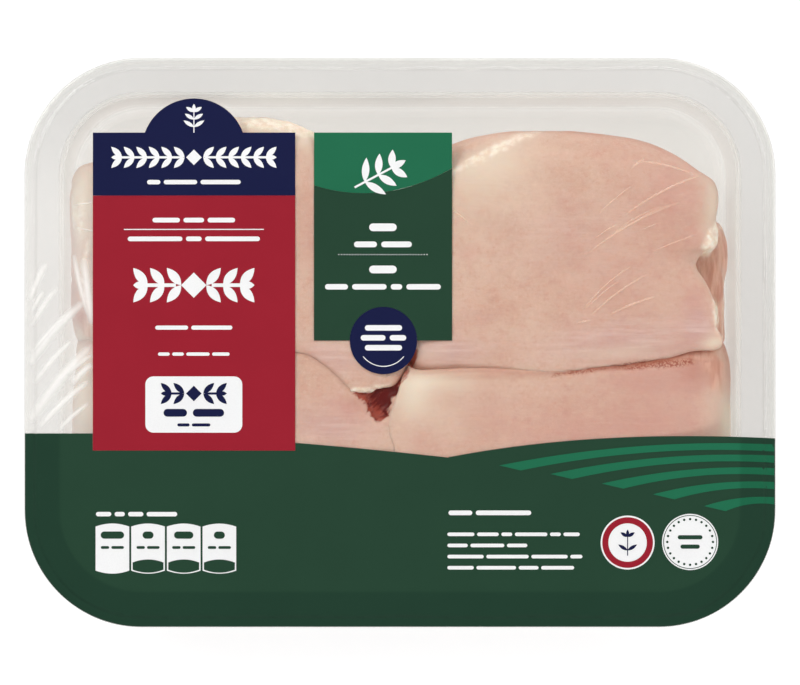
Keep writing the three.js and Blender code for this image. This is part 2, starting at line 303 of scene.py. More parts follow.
def offset_profile(profile, distance):
    """A profile moved to its right, square to the line at each point."""
    steps = np.diff(profile, axis=0)
    steps /= np.linalg.norm(steps, axis=1)[:, None]
    out = np.vstack([steps, steps[-1:]])
    along = np.vstack([steps[:1], steps]) + out
    along /= np.linalg.norm(along, axis=1)[:, None]
    stretch = 1 / np.maximum((along * out).sum(1), 0.5)
    return profile + np.column_stack([along[:, 1], -along[:, 0]]) * (distance * stretch)[:, None]


def make_tray(material):
    inner = rounded(tray_profile(), 0.5)
    outer = rounded(offset_profile(tray_profile(), WALL), 0.2)
    rings = []
    for inset, height in [*inner[::-1], *outer]:
        outline = tray_outline(inset)
        rings.append(np.column_stack([outline, np.full(len(outline), height)]))
    inside = [rings[0] * (share, share, 1) for share in (0.2, 0.4, 0.6, 0.8)]
    outside = [rings[-1] * (share, share, 1) for share in (0.8, 0.6, 0.4, 0.2)]
    rings = [*inside, *rings, *outside]
    points, faces = loft(rings, (0, 0, inner[-1][1]), (0, 0, outer[-1][1]))
    tray = make_piece("tray_shell", points, faces, sharp=50)
    x, y, height = coordinates(tray).T
    inset = tray_inset(x, y)
    flange = smooth(inset, 0.8, 2) * smooth(-inset, -RIM_WIDTH, -RIM_WIDTH + 0.6)
    paint(tray, "rim", flange * smooth(height, RIM_HEIGHT - 3, RIM_HEIGHT - 2))
    paint(tray, "base", smooth(-height, -WALL_FOOT_HEIGHT, -3))
    # Painted shade: the rim's outer 3 mm, and a line along its step, get a darker grey.
    edge = np.maximum(smooth(-inset, -3, -0.4), 0.55 * np.exp(-(((inset - 4.3) / 0.5) ** 2)))
    paint(tray, "edge", edge * smooth(height, RIM_HEIGHT - SKIRT_DROP - 1, RIM_HEIGHT - 3))
    finish_piece(tray, "tray", material, "tray")


def wall_inset(height):
    """How far the tray's inner wall is from its outline, at a height over the floor."""
    profile = tray_profile()
    insets, heights = profile[profile[:, 0] >= RIM_WIDTH][::-1].T
    rising = np.maximum.accumulate(heights + np.arange(len(heights)) * 1e-6)
    return np.interp(height, rising, insets)


# The thighs' outlines from above. What the print or a neighbour covers is a guess. Lips are the
# stretches of an edge that lie on a neighbour: angle about the centre, spread and rise. Dips are
# shallow hollows of the top: centre, spread and depth.

THIGHS = {
    "thigh_upper_right": dict(
        centre=(61, 33),
        outline=[
            (5.5, -11), (14, -10.8), (28, -10.4), (51, -11.3), (69, -9.8), (89, -7.4), (99, -5.2),
            (105, -3.3), (110, -2.8), (114, -2.9), (117, -1.2), (116.8, 2.6), (114.6, 5.6), (114.6, 10),
            (113.8, 16), (111.2, 22.5), (108.2, 28), (110.4, 32.4), (114.6, 34.4), (115.8, 39),
            (115.4, 45), (116.4, 52), (115, 58.5), (109.5, 62.8), (99.6, 69.2), (85.5, 74.8), (69.9, 77),
            (52, 77.4), (35, 76.2), (19.4, 72.2), (7, 64), (1.5, 42), (0.5, 15), (0.5, -3), (2.2, -9),
        ],
        lips=[(-88, 80, 19), (-22, 20, 6)], dips=[((84, 52), 17, 0.5), ((40, 16), 20, 0.4)],
    ),
    "thigh_upper_left": dict(
        centre=(-58, 38),
        outline=[
            (-120.6, 50), (-120.2, 59), (-117.6, 64.2), (-111, 66.8), (-97, 74), (-76, 81), (-56, 82),
            (-44.5, 81), (-37.5, 79), (-31, 76.6), (-16, 70), (-4, 60), (-0.5, 40), (0.5, 15), (3, 0),
            (3, -8.5), (0.8, -12.6), (-2.2, -15.6), (-6.1, -16.2), (-9.2, -16.9), (-12.8, -18.1),
            (-17.2, -17.6), (-20.4, -15), (-24, -11.4), (-29, -7.3), (-36.5, -3.8), (-60, -2.5),
            (-90, -4), (-113, -2), (-119.4, 6), (-120.4, 32),
        ],
        lips=[(-62, 52, 19), (52, 30, 12)], dips=[((-30, 30), 22, 0.6), ((-95, 55), 18, 0.5)],
    ),
    "thigh_lower_right": dict(
        centre=(58, -48),
        outline=[
            (2.4, -9), (12, 4), (36, 12), (62, 15), (88, 15), (104, 13), (113, 8), (118, 1), (120.4, -6),
            (121, -15), (121, -42), (119.5, -66), (111, -81), (88, -87), (50, -88), (16, -86), (0.5, -76),
            (-2, -58), (-1.8, -40), (-4.2, -33), (-4.4, -27), (-2.2, -21.4), (-0.2, -16.5),
        ],
        lips=[(160, 40, 19), (192, 25, 14)], dips=[((30, -60), 20, 0.4), ((92, -28), 14, 0.5)],
    ),
    "thigh_lower_left": dict(
        centre=(-61, -40),
        outline=[
            (-119, -10), (-116, 4), (-102, 12), (-70, 16), (-45, 15), (-22, 11), (-4, 8), (14, 3),
            (25, -8), (26, -25), (24, -50), (14, -73), (-6, -83), (-32, -87), (-70, -87.5), (-100, -85),
            (-114, -76), (-119.5, -55), (-120, -30),
        ],
        lips=[], dips=[((-80, -50), 24, 0.5)],
    ),
}
FLAP = dict(
    centre=(101, 20),
    outline=[
        (84, 2), (100, -1), (112, -1), (118, 0), (118.5, 6), (118.7, 12), (119.6, 20), (120.4, 30),
        (119.3, 39), (115, 44.5), (100, 46), (85, 40), (80, 20),
    ],
    lips=[], dips=[], top=24,
)

# Which thighs lie over the edges of which. The lower right one's edge leaves no furrow.
OVER = {
    "thigh_upper_right": (),
    "thigh_upper_left": ("thigh_upper_right",),
    "thigh_lower_right": ("thigh_upper_right", "thigh_upper_left"),
    "thigh_lower_left": ("thigh_upper_right", "thigh_upper_left", "thigh_lower_right"),
}
# The torn red hollow between three thighs
CAVITY = [
    (-17, -17), (-9, -14), (-3, -12.5), (1, -5), (4.5, -5), (3, -12), (0.5, -16.5), (-2, -21),
    (-4.4, -25.5), (-7, -28), (-10, -27), (-13.2, -22.8),
]

# Patches of the flesh that differ, by kind: centre, half length, half width, turn in degrees, amount.
# Soft ones fade out, and the others have a ragged edge. All of them fade in between two heights.
# Cream is the pale tone of fat, and in places also painted light on slopes that fall into shade; painted
# past 1 it is a painted highlight. Seam is painted reddish-brown shade in the crevices between thighs.
SOFT_PATCHES = ("pink", "mauve", "cream", "clot", "seam")
UPPER_SIDE = (8, 18)
PATCHES = {
    "thigh_upper_right": dict(
        fat=[
            (32.5, 68.8, 19, 2, 26, 0.8), (113, 36.8, 2.3, 6.2, -24, 1.5), (114.9, 11, 1.2, 6.5, 3, 0.9),
        ],
        cream=[
            (31, 67, 21, 3.4, 26, 0.45), (36, 63, 20, 6, 22, 0.35), (30, 58, 24, 17, 30, 0.5),
            (114, 50, 4, 15, -6, 0.45), (114, 0, 4.5, 2.6, 10, 1), (78, -3.5, 17, 2.4, 5, 0.35),
            (11, -3.5, 8, 3.6, 0, 0.35),
        ],
        brown=[(27, 72, 12, 1.3, 26, 0.35)],
        mauve=[
            (16, -3, 15, 6, 0, 1), (108, 6, 6, 7, 0, 0.8), (80, 1, 34, 9, 6, 0.8),
            (60, 40, 22, 14, 20, 0.35),
        ],
        blood=[(3.7, -6, 2.2, 4.6, -20, 1)],
        seam=[(6, -8.6, 4.5, 2, -8, 0.45), (32, -10.9, 28, 1.3, 0, 0.32)],
        pink=[
            (107, 14, 7, 9, 0, 0.9), (108, 38, 7, 5, 0, 0.6), (99, 52, 20, 15, 25, 0.7),
            (82, 24, 27, 17, 10, 0.55), (24.6, 32.4, 5, 4, 0, 0.45), (27, 9, 9, 5, 0, 0.4),
            (100, -2, 14, 4, 10, 0.7), (92, 64, 24, 7, -22, 0.35),
        ],
        rough=[(82, -8.3, 16, 0.9, 8, 0.8)],
    ),
    "thigh_upper_left": dict(
        fat=[
            (-44, 78.5, 20, 3, -8, 0.7), (-117, 46, 2.5, 9, 4, 0.8), (-114, 33, 1.2, 4, -14, 0.7),
            (-14, -17.3, 5, 0.8, 0, 1.1), (-6.6, -15.8, 3.6, 0.5, 6, 0.6),
        ],
        cream=[(-42, 77, 24, 7, -10, 1.1), (-116, 55, 7, 20, 10, 0.75), (-118, 2, 4, 6, 0, 0.7)],
        pink=[(-117, 58, 3, 8, 0, 0.4), (-118, 15, 4, 8, 0, 1.2), (-32, 38, 6, 30, 0, 0.4)],
        brown=[(-115, 7, 6.5, 2.4, -63, 1.3), (-117.5, 61, 4, 4, 0, 0.45)],
        seam=[
            (-116.5, 9.5, 3.5, 5, -20, 0.75), (-118, 19, 3, 6, 0, 0.25), (-27, -9, 13, 1.3, -38, 0.25),
            (0.6, -13.5, 2.4, 5.4, -28, 0.8),
        ],
        mauve=[(-24, -5, 13, 7, -20, 0.8)],
    ),
    "thigh_lower_right": dict(
        cream=[
            (4.5, -19, 8, 12, -18, 0.85), (14, -22, 20, 14, -20, 0.3), (14, -13.5, 17, 4.5, 0, 0.65),
            (120, -30, 3.5, 14, 0, 1.2),
        ],
        blood=[(1.4, -12.6, 1.2, 4, -25, 0.5)],
        rough=[(67, -10.2, 13, 0.9, 8, 1.2), (91, -7.8, 17, 1.6, 3, 1.5)],
        pink=[
            (90, -13, 28, 6, 3, 0.6), (98, -28, 26, 20, 0, 0.8), (108, -12, 9, 7, 0, 1),
            (30, -24, 12, 10, 0, 0.5), (8, -34, 10, 8, 0, 0.5), (118, -24, 4, 12, 0, 0.6),
            (62, -38, 36, 18, 0, 0.85),
        ],
        seam=[
            (108, -11, 8, 5, 0, 0.28), (115, -11, 5, 6, 0, 0.22), (107, -6, 10, 3.4, 4, 0.2),
            (32, -12.4, 28, 1.4, 0, 0.25),
        ],
        brown=[(114.5, -8, 5, 10, 24, 0.95), (104, -5.4, 12, 2.4, 4, 0.8)],
    ),
    "thigh_lower_left": dict(
        blood=[(1.5, -12, 2.4, 8, -24, 0.8), (-15, -18.4, 3.4, 1.2, 4, 0.55)],
        clot=[(-4.6, -19.4, 8, 8.5, 0, 1.2)],
        pink=[(-19, -24, 12, 6, -20, 0.95)],
        seam=[(-15.5, -21, 5, 3.4, -28, 0.22)],
        mauve=[(-26, -31, 18, 8, -8, 0.8)],
        cream=[(-117, -18, 6, 24, 0, 0.8)],
        brown=[(-114, -2, 2.5, 5, -40, 0.4)],
    ),
}
# How much paint a kind may have, where that isn't 1
MOST_PAINT = {"cream": 2, "blood": 1.3}


def film_rise(x, y):
    length = TRAY_LENGTH / 2 - RIM_WIDTH
    width = TRAY_WIDTH / 2 - RIM_WIDTH
    out = np.minimum((x / length) ** 4 + (y / width) ** 4, 1)
    return FILM_RISE * (1 - out**0.75)


def roof(x, y):
    """The highest that flesh may reach."""
    return RIM_HEIGHT + SEAL_GAP + film_rise(x, y) - FILM_CLEARANCE


def closed_curve(corners, steps=8):
    """A closed smooth curve through all the corners."""
    corners = np.array(corners, float)
    share = (np.arange(steps) / steps)[:, None]
    before, after, later = (np.roll(corners, shift, axis=0) for shift in (1, -1, -2))
    points = []
    for a, b, c, d in zip(before, corners, after, later):
        points.append(
            b + share * (c - a) / 2
            + share**2 * (a - 2.5 * b + 2 * c - d / 2)
            + share**3 * (1.5 * (b - c) + (d - a) / 2)
        )
    return np.vstack(points)


def widest_height(slab, angle):
    """The height at which a slab is widest, at angles in degrees about its centre."""
    lift = np.zeros(len(angle))
    for at, spread, rise in slab["lips"]:
        away = (angle - at + 180) % 360 - 180
        lift += rise * np.exp(-((away / spread) ** 2))
    return min(WIDEST_HEIGHT, slab.get("top", RIM_HEIGHT) * 0.6) + np.minimum(lift, MOST_LIFT)


def slab_top(slab, x, y):
    top = np.full(np.shape(x), slab["top"]) if "top" in slab else roof(x, y)
    for at, spread, depth in slab["dips"]:
        away = np.hypot(x - at[0], y - at[1]) / spread
        top = top - depth * np.exp(-(away**2))
    return top


def slab_piece(name, slab, cutter=False, top_rings=22, under_rings=12):
    """A slab, or the cutter that makes room for it: a little smaller, and a column over its edge."""
    grow = -THIGH_PRESS if cutter else 0
    floor = WALL + PANEL_RISE + BED_CLEARANCE - grow
    centre = np.array(slab["centre"], float)
    across = closed_curve(slab["outline"]) - centre
    reach = np.hypot(*across.T)
    widest = widest_height(slab, np.degrees(np.arctan2(across[:, 1], across[:, 0])))
    widest = np.minimum(widest, slab_top(slab, *(centre + across).T) - 0.3)
    across = across * (1 + grow / reach)[:, None]
    rings = []
    for share in np.sin(np.arange(1, top_rings + 1) / top_rings * math.pi / 2):
        place = centre + across * share
        fullness = math.sqrt(max(1 - share**TOP_ROUNDNESS, 0))
        height = widest + (slab_top(slab, *place.T) - widest) * fullness
        if cutter and share < 1:
            height[:] = CUTTER_HEIGHT
        rings.append(np.column_stack([place, height]))
    for share in np.sin(np.arange(under_rings - 1, 0, -1) / under_rings * math.pi / 2):
        place = centre + across * share
        height = widest + (floor - widest) * math.sqrt(1 - share**UNDER_ROUNDNESS)
        rings.append(np.column_stack([place, height]))
    top = CUTTER_HEIGHT if cutter else float(slab_top(slab, *centre))
    points, faces = loft(rings, (*centre, top), (*centre, floor))
    return make_piece(name, points, faces)


def thigh_blank(name, cutter=False):
    blank = slab_piece(name + "_blank", THIGHS[name], cutter)
    if name == "thigh_upper_right":
        flap = slab_piece(name + "_flap", FLAP, cutter)
        combine(blank, flap, "UNION")
        bpy.data.objects.remove(flap)
    return blank


def press_inside(points):
    """Moves points that would stand in the tray's wall back inside it."""
    x, y, z = points.T
    short = np.maximum(wall_inset(z) + BED_CLEARANCE - tray_inset(x, y), 0)
    nudge = 0.05
    slope = np.array([
        tray_inset(x + nudge, y) - tray_inset(x - nudge, y),
        tray_inset(x, y + nudge) - tray_inset(x, y - nudge),
    ])
    points[:, :2] += (short * slope / np.maximum(np.hypot(*slope), 1e-9)).T
    return points


def patch_amounts(name, points, kind):
    """How strongly the patches of one kind mark each point of a thigh's upper side."""
    total = np.zeros(len(points))
    for x, y, half_length, half_width, turn, amount in PATCHES[name].get(kind, ()):
        cosine, sine = math.cos(math.radians(turn)), math.sin(math.radians(turn))
        right, up = points[:, 0] - x, points[:, 1] - y
        along = (right * cosine + up * sine) / half_length
        across = (up * cosine - right * sine) / half_width
        if kind in SOFT_PATCHES:
            total += amount * np.exp(-1.4 * (along**2 + across**2))
        else:
            away = np.hypot(along, across) + 0.3 * layered_noise(points, 4, 31)
            total += amount * smooth(-away, -1.35, -0.45)
    return total * smooth(points[:, 2], *UPPER_SIDE)


def signed_distance(points, outline, near):
    """How far points are outside an outline, less than 0 inside; far away where they aren't near."""
    away = np.full(len(points), FAR_AWAY)
    away[near] = nearest_distance(points[near, :2], outline)
    away[near] *= np.where(is_inside(points[near, :2], outline), -1, 1)
    return away


def thigh_distance(points, name):
    """How far points are outside a thigh's outline, seen from above; 0 inside it."""
    outline = densify(closed_curve(THIGHS[name]["outline"]), 1.0)
    near = (points[:, 2] > UPPER_SIDE[1]) & (points[:, :2] > outline.min(0) - SEAM_REACH).all(1)
    near &= (points[:, :2] < outline.max(0) + SEAM_REACH).all(1)
    return np.maximum(signed_distance(points, outline, near), 0)


def sink_seams(points, name):
    """Eases a thigh's top down to the lips that lie over its edges; also gives how much reddish-brown
    shade to paint along them.
    """
    upper = smooth(points[:, 2], 24, 34)
    seam_shade = np.zeros(len(points))
    for other in OVER[name]:
        if other == "thigh_lower_right":
            continue
        away = thigh_distance(points, other)
        x = points[:, 0]
        wide = smooth(x, 56, 88) * smooth(-x, -114, -100) if other == "thigh_upper_right" else 0
        depth = SEAM_DEPTH + WIDE_SEAM_DEPTH * wide
        points[:, 2] -= upper * depth * np.exp(-((away / (1 + wide)) ** 2))
        # Painted shade: reddish brown in the crevice at each lip, widest and strongest along the wide
        # seam.
        red = SEAM_SHADE + WIDE_SEAM_SHADE * wide
        seam_shade = np.maximum(seam_shade, red * np.exp(-((away / (0.8 + 0.7 * wide)) ** 2)))
    if name == "thigh_lower_left":
        points[:, 2] -= upper * CAVITY_DEPTH * cavity_share(points)
    return points, seam_shade


def cavity_share(points):
    """1 in the middle of the torn hollow between three thighs, 0 outside it."""
    outline = closed_curve(CAVITY)
    near = np.hypot(*(points[:, :2] - outline.mean(0)).T) < 20
    ragged = 1.4 * layered_noise(points, 2.2, 77)
    return smooth(ragged - signed_distance(points, outline, near), -1.4, 2.2)


def shape_flesh(piece, name, seed):
    """Gives a thigh its lumps, muscle seams, fibres and rough patches, and paints where they are; it also
    paints shade in its deep places and seams, and light on its sides by the tray's wall.
    """
    points = coordinates(piece)
    outward = point_values(piece, "normal")
    under = smooth(-points[:, 2], -30, -12)
    fat, rough, blood = (patch_amounts(name, points, kind) for kind in ("fat", "rough", "blood"))
    if name == "thigh_lower_left":
        blood = np.maximum(blood, 1.2 * cavity_share(points) * smooth(points[:, 2], *UPPER_SIDE))
    field = layered_noise(points, 34, seed + 5, 2)
    seam = np.exp(-((field / 0.05) ** 2)) * (0.1 + 0.9 * under)
    lumps = 0.45 * layered_noise(points, 26, seed) + 0.12 * layered_noise(points, 7, seed + 2, 2)
    bumps = (0.5 * under + 0.1) * lattice_noise(points, 13, seed + 3)
    fibres = 0.05 * lattice_noise(points * (0.25, 1, 1), 2.6, seed + 4)
    fat_lumps = 0.7 * fat * (0.5 + layered_noise(points, 4, seed + 7, 2))
    torn = rough * (0.25 * lattice_noise(points, 2.0, seed + 8) - 0.35)
    clots = blood * 0.5 * layered_noise(points, 3.4, seed + 9, 2)
    relief = lumps + bumps + fibres - 0.9 * seam + fat_lumps + torn + clots
    points, seam_shade = sink_seams(points + outward * relief[:, None], name)
    x, y = points[:, 0], points[:, 1]
    ceiling = roof(x, y) + FILM_CLEARANCE - 0.25
    over = points[:, 2] - (ceiling - 0.5)
    points[:, 2] = np.where(over > 0, ceiling - 0.5 + 0.5 * np.tanh(over / 0.5), points[:, 2])
    points[:, 2] = np.maximum(points[:, 2], WALL + PANEL_RISE + 0.3)
    move_points(piece, press_inside(points))
    depth = roof(x, y) - points[:, 2]
    amounts = {kind: patch_amounts(name, points, kind) for kind in ("brown", *SOFT_PATCHES)}
    if name == "thigh_upper_right":
        beside = thigh_distance(points, name)
        flap = smooth(beside, 0, 0.9) * smooth(points[:, 2], 6, 14) * smooth(x, 90, 100)
        amounts["brown"] = amounts["brown"] + flap
    # Painted light: the flesh's sides by the clear wall, where they fall away under the film, are painted
    # cream.
    wall_side_light = smooth(-tray_inset(x, y), -32, -20) * smooth(depth, 0.8, 4) * smooth(-depth, -14, -6)
    amounts["cream"] += 0.4 * wall_side_light * (1 - np.clip(amounts["brown"], 0, 1))
    # Painted shade: reddish brown along the seams where neighbours' lips lie over this thigh.
    amounts["seam"] += seam_shade
    # Painted shade: depth marks flesh that lies deep under the film, which the material paints darker and
    # redder.
    amounts.update(fat=fat + 0.75 * seam * under, rough=rough, blood=blood, depth=smooth(depth, 6, 14))
    for kind, amount in amounts.items():
        paint(piece, kind, np.clip(amount, 0, MOST_PAINT.get(kind, 1)))


def make_thighs(material):
    cutters = {name: thigh_blank(name, cutter=True) for name in THIGHS if name != "thigh_lower_left"}
    thighs = []
    for seed, name in enumerate(THIGHS):
        thigh = thigh_blank(name)
        thigh.name = name + "_flesh"
        for other in OVER[name]:
            combine(thigh, cutters[other], "DIFFERENCE")
        move_points(thigh, press_inside(coordinates(thigh)))
        add_modifier(thigh, "REMESH", mode="VOXEL", voxel_size=VOXEL * MM, use_smooth_shade=True)
        add_modifier(thigh, "SMOOTH", factor=0.5, iterations=3)
        apply_modifiers(thigh)
        shape_flesh(thigh, name, 100 * (seed + 1))
        finish_piece(thigh, "flesh", material, name)
        thighs.append(thigh)
    for cutter in cutters.values():
        bpy.data.objects.remove(cutter)
    return thighs


# The film's shape

# Creases: start, end, sideways bow, half width, height
CREASES = [
    ((66.8, 31.2), (102.2, 51), 2, 0.34, 0.26), ((81.5, 46.1), (109.8, 61), 1.4, 0.32, 0.24),
    ((82.6, 42.1), (98.9, 50.3), 0.8, 0.2, 0.12), ((18.3, 48.6), (24.9, 43.2), 0.3, 0.2, 0.08),
    ((70.4, 37.5), (78.8, 43), 0.3, 0.2, 0.12), ((75, 37.2), (96, 49.8), 1.5, 0.2, 0.12),
    ((71.7, 46.5), (84.2, 57.1), 0.3, 0.2, 0.12), ((83.7, 62.8), (89.1, 67.2), 0.3, 0.2, 0.1),
    ((84, 66), (108, 60.5), 1.2, 0.24, 0.12), ((66.2, 11.6), (84.2, 28), 1.2, 0.22, 0.2),
    ((67.8, 12.4), (80.5, 23), 0.6, 0.18, 0.13), ((69.5, 10), (89.7, 24.7), 1, 0.34, 0.26),
    ((76, 10), (92.9, 16.7), 0.6, 0.38, 0.26), ((64.1, 7.05), (69.5, 8), 0.2, 0.26, 0.18),
    ((92.4, 33.4), (107, 39), 0.2, 0.2, 0.08), ((88, 41), (93.5, 43.2), 0.1, 0.18, 0.08),
    ((-134.5, -8), (-113.9, 15.3), 1.4, 1.1, 0.5), ((-134.5, -29), (-111.8, -0.8), 1, 1.3, 0.6),
    ((-134.5, 15), (-128.5, 28.8), 0.4, 0.8, 0.35), ((-133.8, 11), (-129.4, 18.7), 0.2, 0.6, 0.25),
    ((-133.6, 6), (-124.6, 19.8), 0.5, 0.7, 0.3), ((-133.6, -4), (-121, 10), 0.6, 0.6, 0.22),
    ((-133, -15), (-119, 1), 0.6, 0.7, 0.25), ((-118.5, 49.9), (-110, 50.9), 0.1, 0.17, 0.06),
    ((-118, 42), (-110, 40.4), -0.2, 0.17, 0.06), ((-118.4, 32.2), (-112.7, 8.5), -0.5, 0.7, 0.35),
    ((-114.8, 31), (-111.8, 6), -0.2, 1.2, 0.2), ((-117.6, 26), (-113.4, 18), 0.2, 0.4, 0.15),
    ((-122, -13), (-111.8, -4.4), 0.5, 0.7, 0.35), ((-119, -15), (-111.8, -7.6), 0.3, 0.9, 0.32),
    ((-131, -31), (-113, -14), 0.8, 0.8, 0.3), ((-124, -32), (-113, -22), 0.5, 0.6, 0.2),
]

RIM_INSETS, RIM_TOPS = np.array([*RIM_PROFILE, (RIM_WIDTH + 1, RIM_HEIGHT)]).T
GRID_X = np.arange(-TRAY_LENGTH / 2, TRAY_LENGTH / 2 + GRID, GRID)
GRID_Y = np.arange(-TRAY_WIDTH / 2, TRAY_WIDTH / 2 + GRID, GRID)


def crease_heights(x, y):
    """The height that the creases add to the film, and how much painted highlight they give it, from 0 to
    1.
    """
    height = np.zeros(len(x))
    crease_glint = np.zeros(len(x))
    for start, end, bow, half, rise in CREASES:
        along = np.subtract(end, start)
        length = np.hypot(*along)
        share = ((x - start[0]) * along[0] + (y - start[1]) * along[1]) / length**2
        side = ((y - start[1]) * along[0] - (x - start[0]) * along[1]) / length
        side -= 4 * bow * share * (1 - share)
        inner = np.clip(share, 0, 1)
        taper = np.where(share == inner, np.sin(inner * math.pi) ** 0.6, 0)
        ridge = np.exp(-((side / half) ** 2)) * taper
        height += rise * ridge
        crease_glint = np.maximum(crease_glint, ridge * (0.45 + 0.55 * smooth(half, 0.3, 0.8)))
    return height, crease_glint


def settle_film(thighs):
    """The film's heights on a grid: taut from the rim over whatever flesh holds it up."""
    x, y = np.meshgrid(GRID_X, GRID_Y)
    held = np.full(x.shape, -np.inf)
    for thigh in thighs:
        tree = BVHTree.FromObject(thigh, bpy.context.evaluated_depsgraph_get())
        corners = np.array(thigh.bound_box) / MM
        low, high = corners.min(0), corners.max(0)
        near = (x > low[0]) & (x < high[0]) & (y > low[1]) & (y < high[1])
        for row, column in zip(*np.nonzero(near)):
            above = Vector((x[row, column] * MM, y[row, column] * MM, 0.1))
            hit = tree.ray_cast(above, Vector((0, 0, -1)))[0]
            if hit:
                held[row, column] = max(held[row, column], hit.z / MM + HELD_OVER_FLESH)
    free = tray_inset(x, y) > RIM_WIDTH + 0.3
    film = RIM_HEIGHT + SEAL_GAP + np.where(free, film_rise(x, y), 0)
    for _ in range(SETTLE_STEPS):
        middle = film[1:-1, 1:-1]
        around = (film[:-2, 1:-1] + film[2:, 1:-1] + film[1:-1, :-2] + film[1:-1, 2:]) / 4
        settled = np.maximum(around - SAG, held[1:-1, 1:-1])
        film[1:-1, 1:-1] = np.where(free[1:-1, 1:-1], settled, middle)
    return film


def film_height(x, y):
    """The height of the film's underside."""
    column = np.clip((x - GRID_X[0]) / GRID, 0, len(GRID_X) - 1.001)
    row = np.clip((y - GRID_Y[0]) / GRID, 0, len(GRID_Y) - 1.001)
    i, j = column.astype(int), row.astype(int)
    right, up = column - i, row - j
    lower, upper = (
        FILM_GRID[line, i] * (1 - right) + FILM_GRID[line, i + 1] * right for line in (j, j + 1)
    )
    inside = lower * (1 - up) + upper * up
    inset = tray_inset(x, y)
    wave = 0.3 + 0.3 * lattice_noise(np.column_stack([x, y, 0 * x]), 9, 12)
    rim = np.interp(inset + wave, RIM_INSETS, RIM_TOPS) + SEAL_GAP
    share = smooth(inset, RIM_WIDTH - 0.6, RIM_WIDTH + 1.2)
    return rim * (1 - share) + inside * share + crease_heights(x, y)[0]


# Flat shapes, as outlines seen from above, and sheets made of them


def densify(outline, step):
    """A closed outline with points no further than a step apart."""
    points = []
    for start, end in zip(outline, np.roll(outline, -1, axis=0)):
        count = max(int(math.ceil(np.hypot(*(end - start)) / step)), 1)
        points += [start + (end - start) * k / count for k in range(count)]
    return np.array(points)


def is_inside(points, outline):
    x, y = points.T
    inside = np.zeros(len(points), bool)
    for (x1, y1), (x2, y2) in zip(outline, np.roll(outline, -1, axis=0)):
        if y1 == y2:
            continue
        crosses = (y1 > y) != (y2 > y)
        inside ^= crosses & (x < (x2 - x1) * (y - y1) / (y2 - y1) + x1)
    return inside


def covered(points, outlines, holes):
    inside = np.zeros(len(points), bool)
    for outline in outlines:
        inside |= is_inside(points, outline)
    for hole in holes:
        inside &= ~is_inside(points, hole)
    return inside


def spread_points(low, high, spacing):
    """Points on a grid of triangles over a rectangle."""
    rows = np.arange(low[1], high[1], spacing * 0.87)
    columns = np.arange(low[0], high[0], spacing)
    x, y = np.meshgrid(columns, rows)
    x = x + (np.arange(len(rows)) % 2)[:, None] * spacing / 2
    return np.column_stack([x.ravel(), y.ravel()])


def triangulate(outlines, holes=(), spacing=SHEET_SPACING, extra=()):
    """Points and triangles that cover the outlines, less the holes."""
    outlines, holes = ([densify(line, spacing) for line in lines] for lines in (outlines, holes))
    points, edges = [], []
    for line in [*outlines, *holes]:
        first = len(points)
        points += line.tolist()
        edges += [(first + k, first + (k + 1) % len(line)) for k in range(len(line))]
    everything = np.vstack(outlines)
    filling = np.vstack([spread_points(everything.min(0), everything.max(0), spacing), *extra])
    filling = filling[covered(filling, outlines, holes)]
    if not len(extra):
        filling = filling[nearest_distance(filling, np.array(points)) > 0.3 * spacing]
    points += filling.tolist()
    made = delaunay_2d_cdt([Vector(point) for point in points], edges, [], 0, 1e-5)
    where = np.array([tuple(point) for point in made[0]])
    triangles = np.array([face for face in made[2] if len(face) == 3])
    centres = where[triangles].mean(1)
    return where, triangles[covered(centres, outlines, holes)]


def nearest_distance(points, others):
    """The distance from each point to the nearest of the others."""
    nearest = np.full(len(points), np.inf)
    for start in range(0, len(points), BATCH):
        between = points[start:start + BATCH, None] - others[None]
        nearest[start:start + BATCH] = np.hypot(between[..., 0], between[..., 1]).min(1)
    return nearest


def rim_lines():
    """Points along the rim's steps, where a sheet bends."""
    insets = (0.9, 2.6, 3.0, 3.4, 3.8, 4.2, 4.6, 12.2, 12.8, 13.4, 14.2)
    return [tray_outline(inset, **FINE_OUTLINE) for inset in insets]


def sheet(name, where, triangles, lift, thickness):
    """A thin closed sheet that follows the film, lift above its underside."""
    used, triangles = np.unique(triangles, return_inverse=True)
    triangles = triangles.reshape(-1, 3)
    where = where[used]
    low = film_height(*where.T) + lift
    count = len(where)
    points = np.vstack([np.column_stack([where, height]) for height in (low + thickness, low)])
    edges = np.vstack([triangles[:, pair] for pair in ([0, 1], [1, 2], [2, 0])]).tolist()
    paired = {(b, a) for a, b in edges}
    rim = [(a, b) for a, b in edges if (a, b) not in paired]
    faces = triangles.tolist() + (triangles[:, ::-1] + count).tolist()
    faces += [(a, a + count, b + count, b) for a, b in rim]
    return make_piece(name, points, faces, sharp=60)


def make_film(material):
    """The clear film, with more points on its creases and over the rim's steps."""
    extra = rim_lines()
    beside = np.array([-2.2, -1.3, -0.6, 0, 0.6, 1.3, 2.2])[:, None]
    for start, end, bow, half, _ in CREASES:
        start, along = np.array(start), np.subtract(end, start)
        length = np.hypot(*along)
        normal = np.array([-along[1], along[0]]) / length
        for share in np.linspace(0, 1, int(length / CREASE_STEP)):
            middle = start + along * share + normal * 4 * bow * share * (1 - share)
            extra.append(middle + normal * half * beside)
    outline = tray_outline(FILM_EDGE, **FINE_OUTLINE)
    where, triangles = triangulate([outline], extra=extra)
    film = sheet("lid_film", where, triangles, 0, FILM)
    x, y = coordinates(film)[:, :2].T
    # Painted highlight on the creases, painted glare over the film's left part, and which colour those
    # painted highlights take.
    paint(film, "crease_highlight", crease_heights(x, y)[1])
    paint(film, "left_glare", smooth(-x, 96, 124) * smooth(-y, -88, -40))
    paint(film, "fan", smooth(-x, 0, 90))
    finish_piece(film, "film", material, "film")


# Outlines of the print

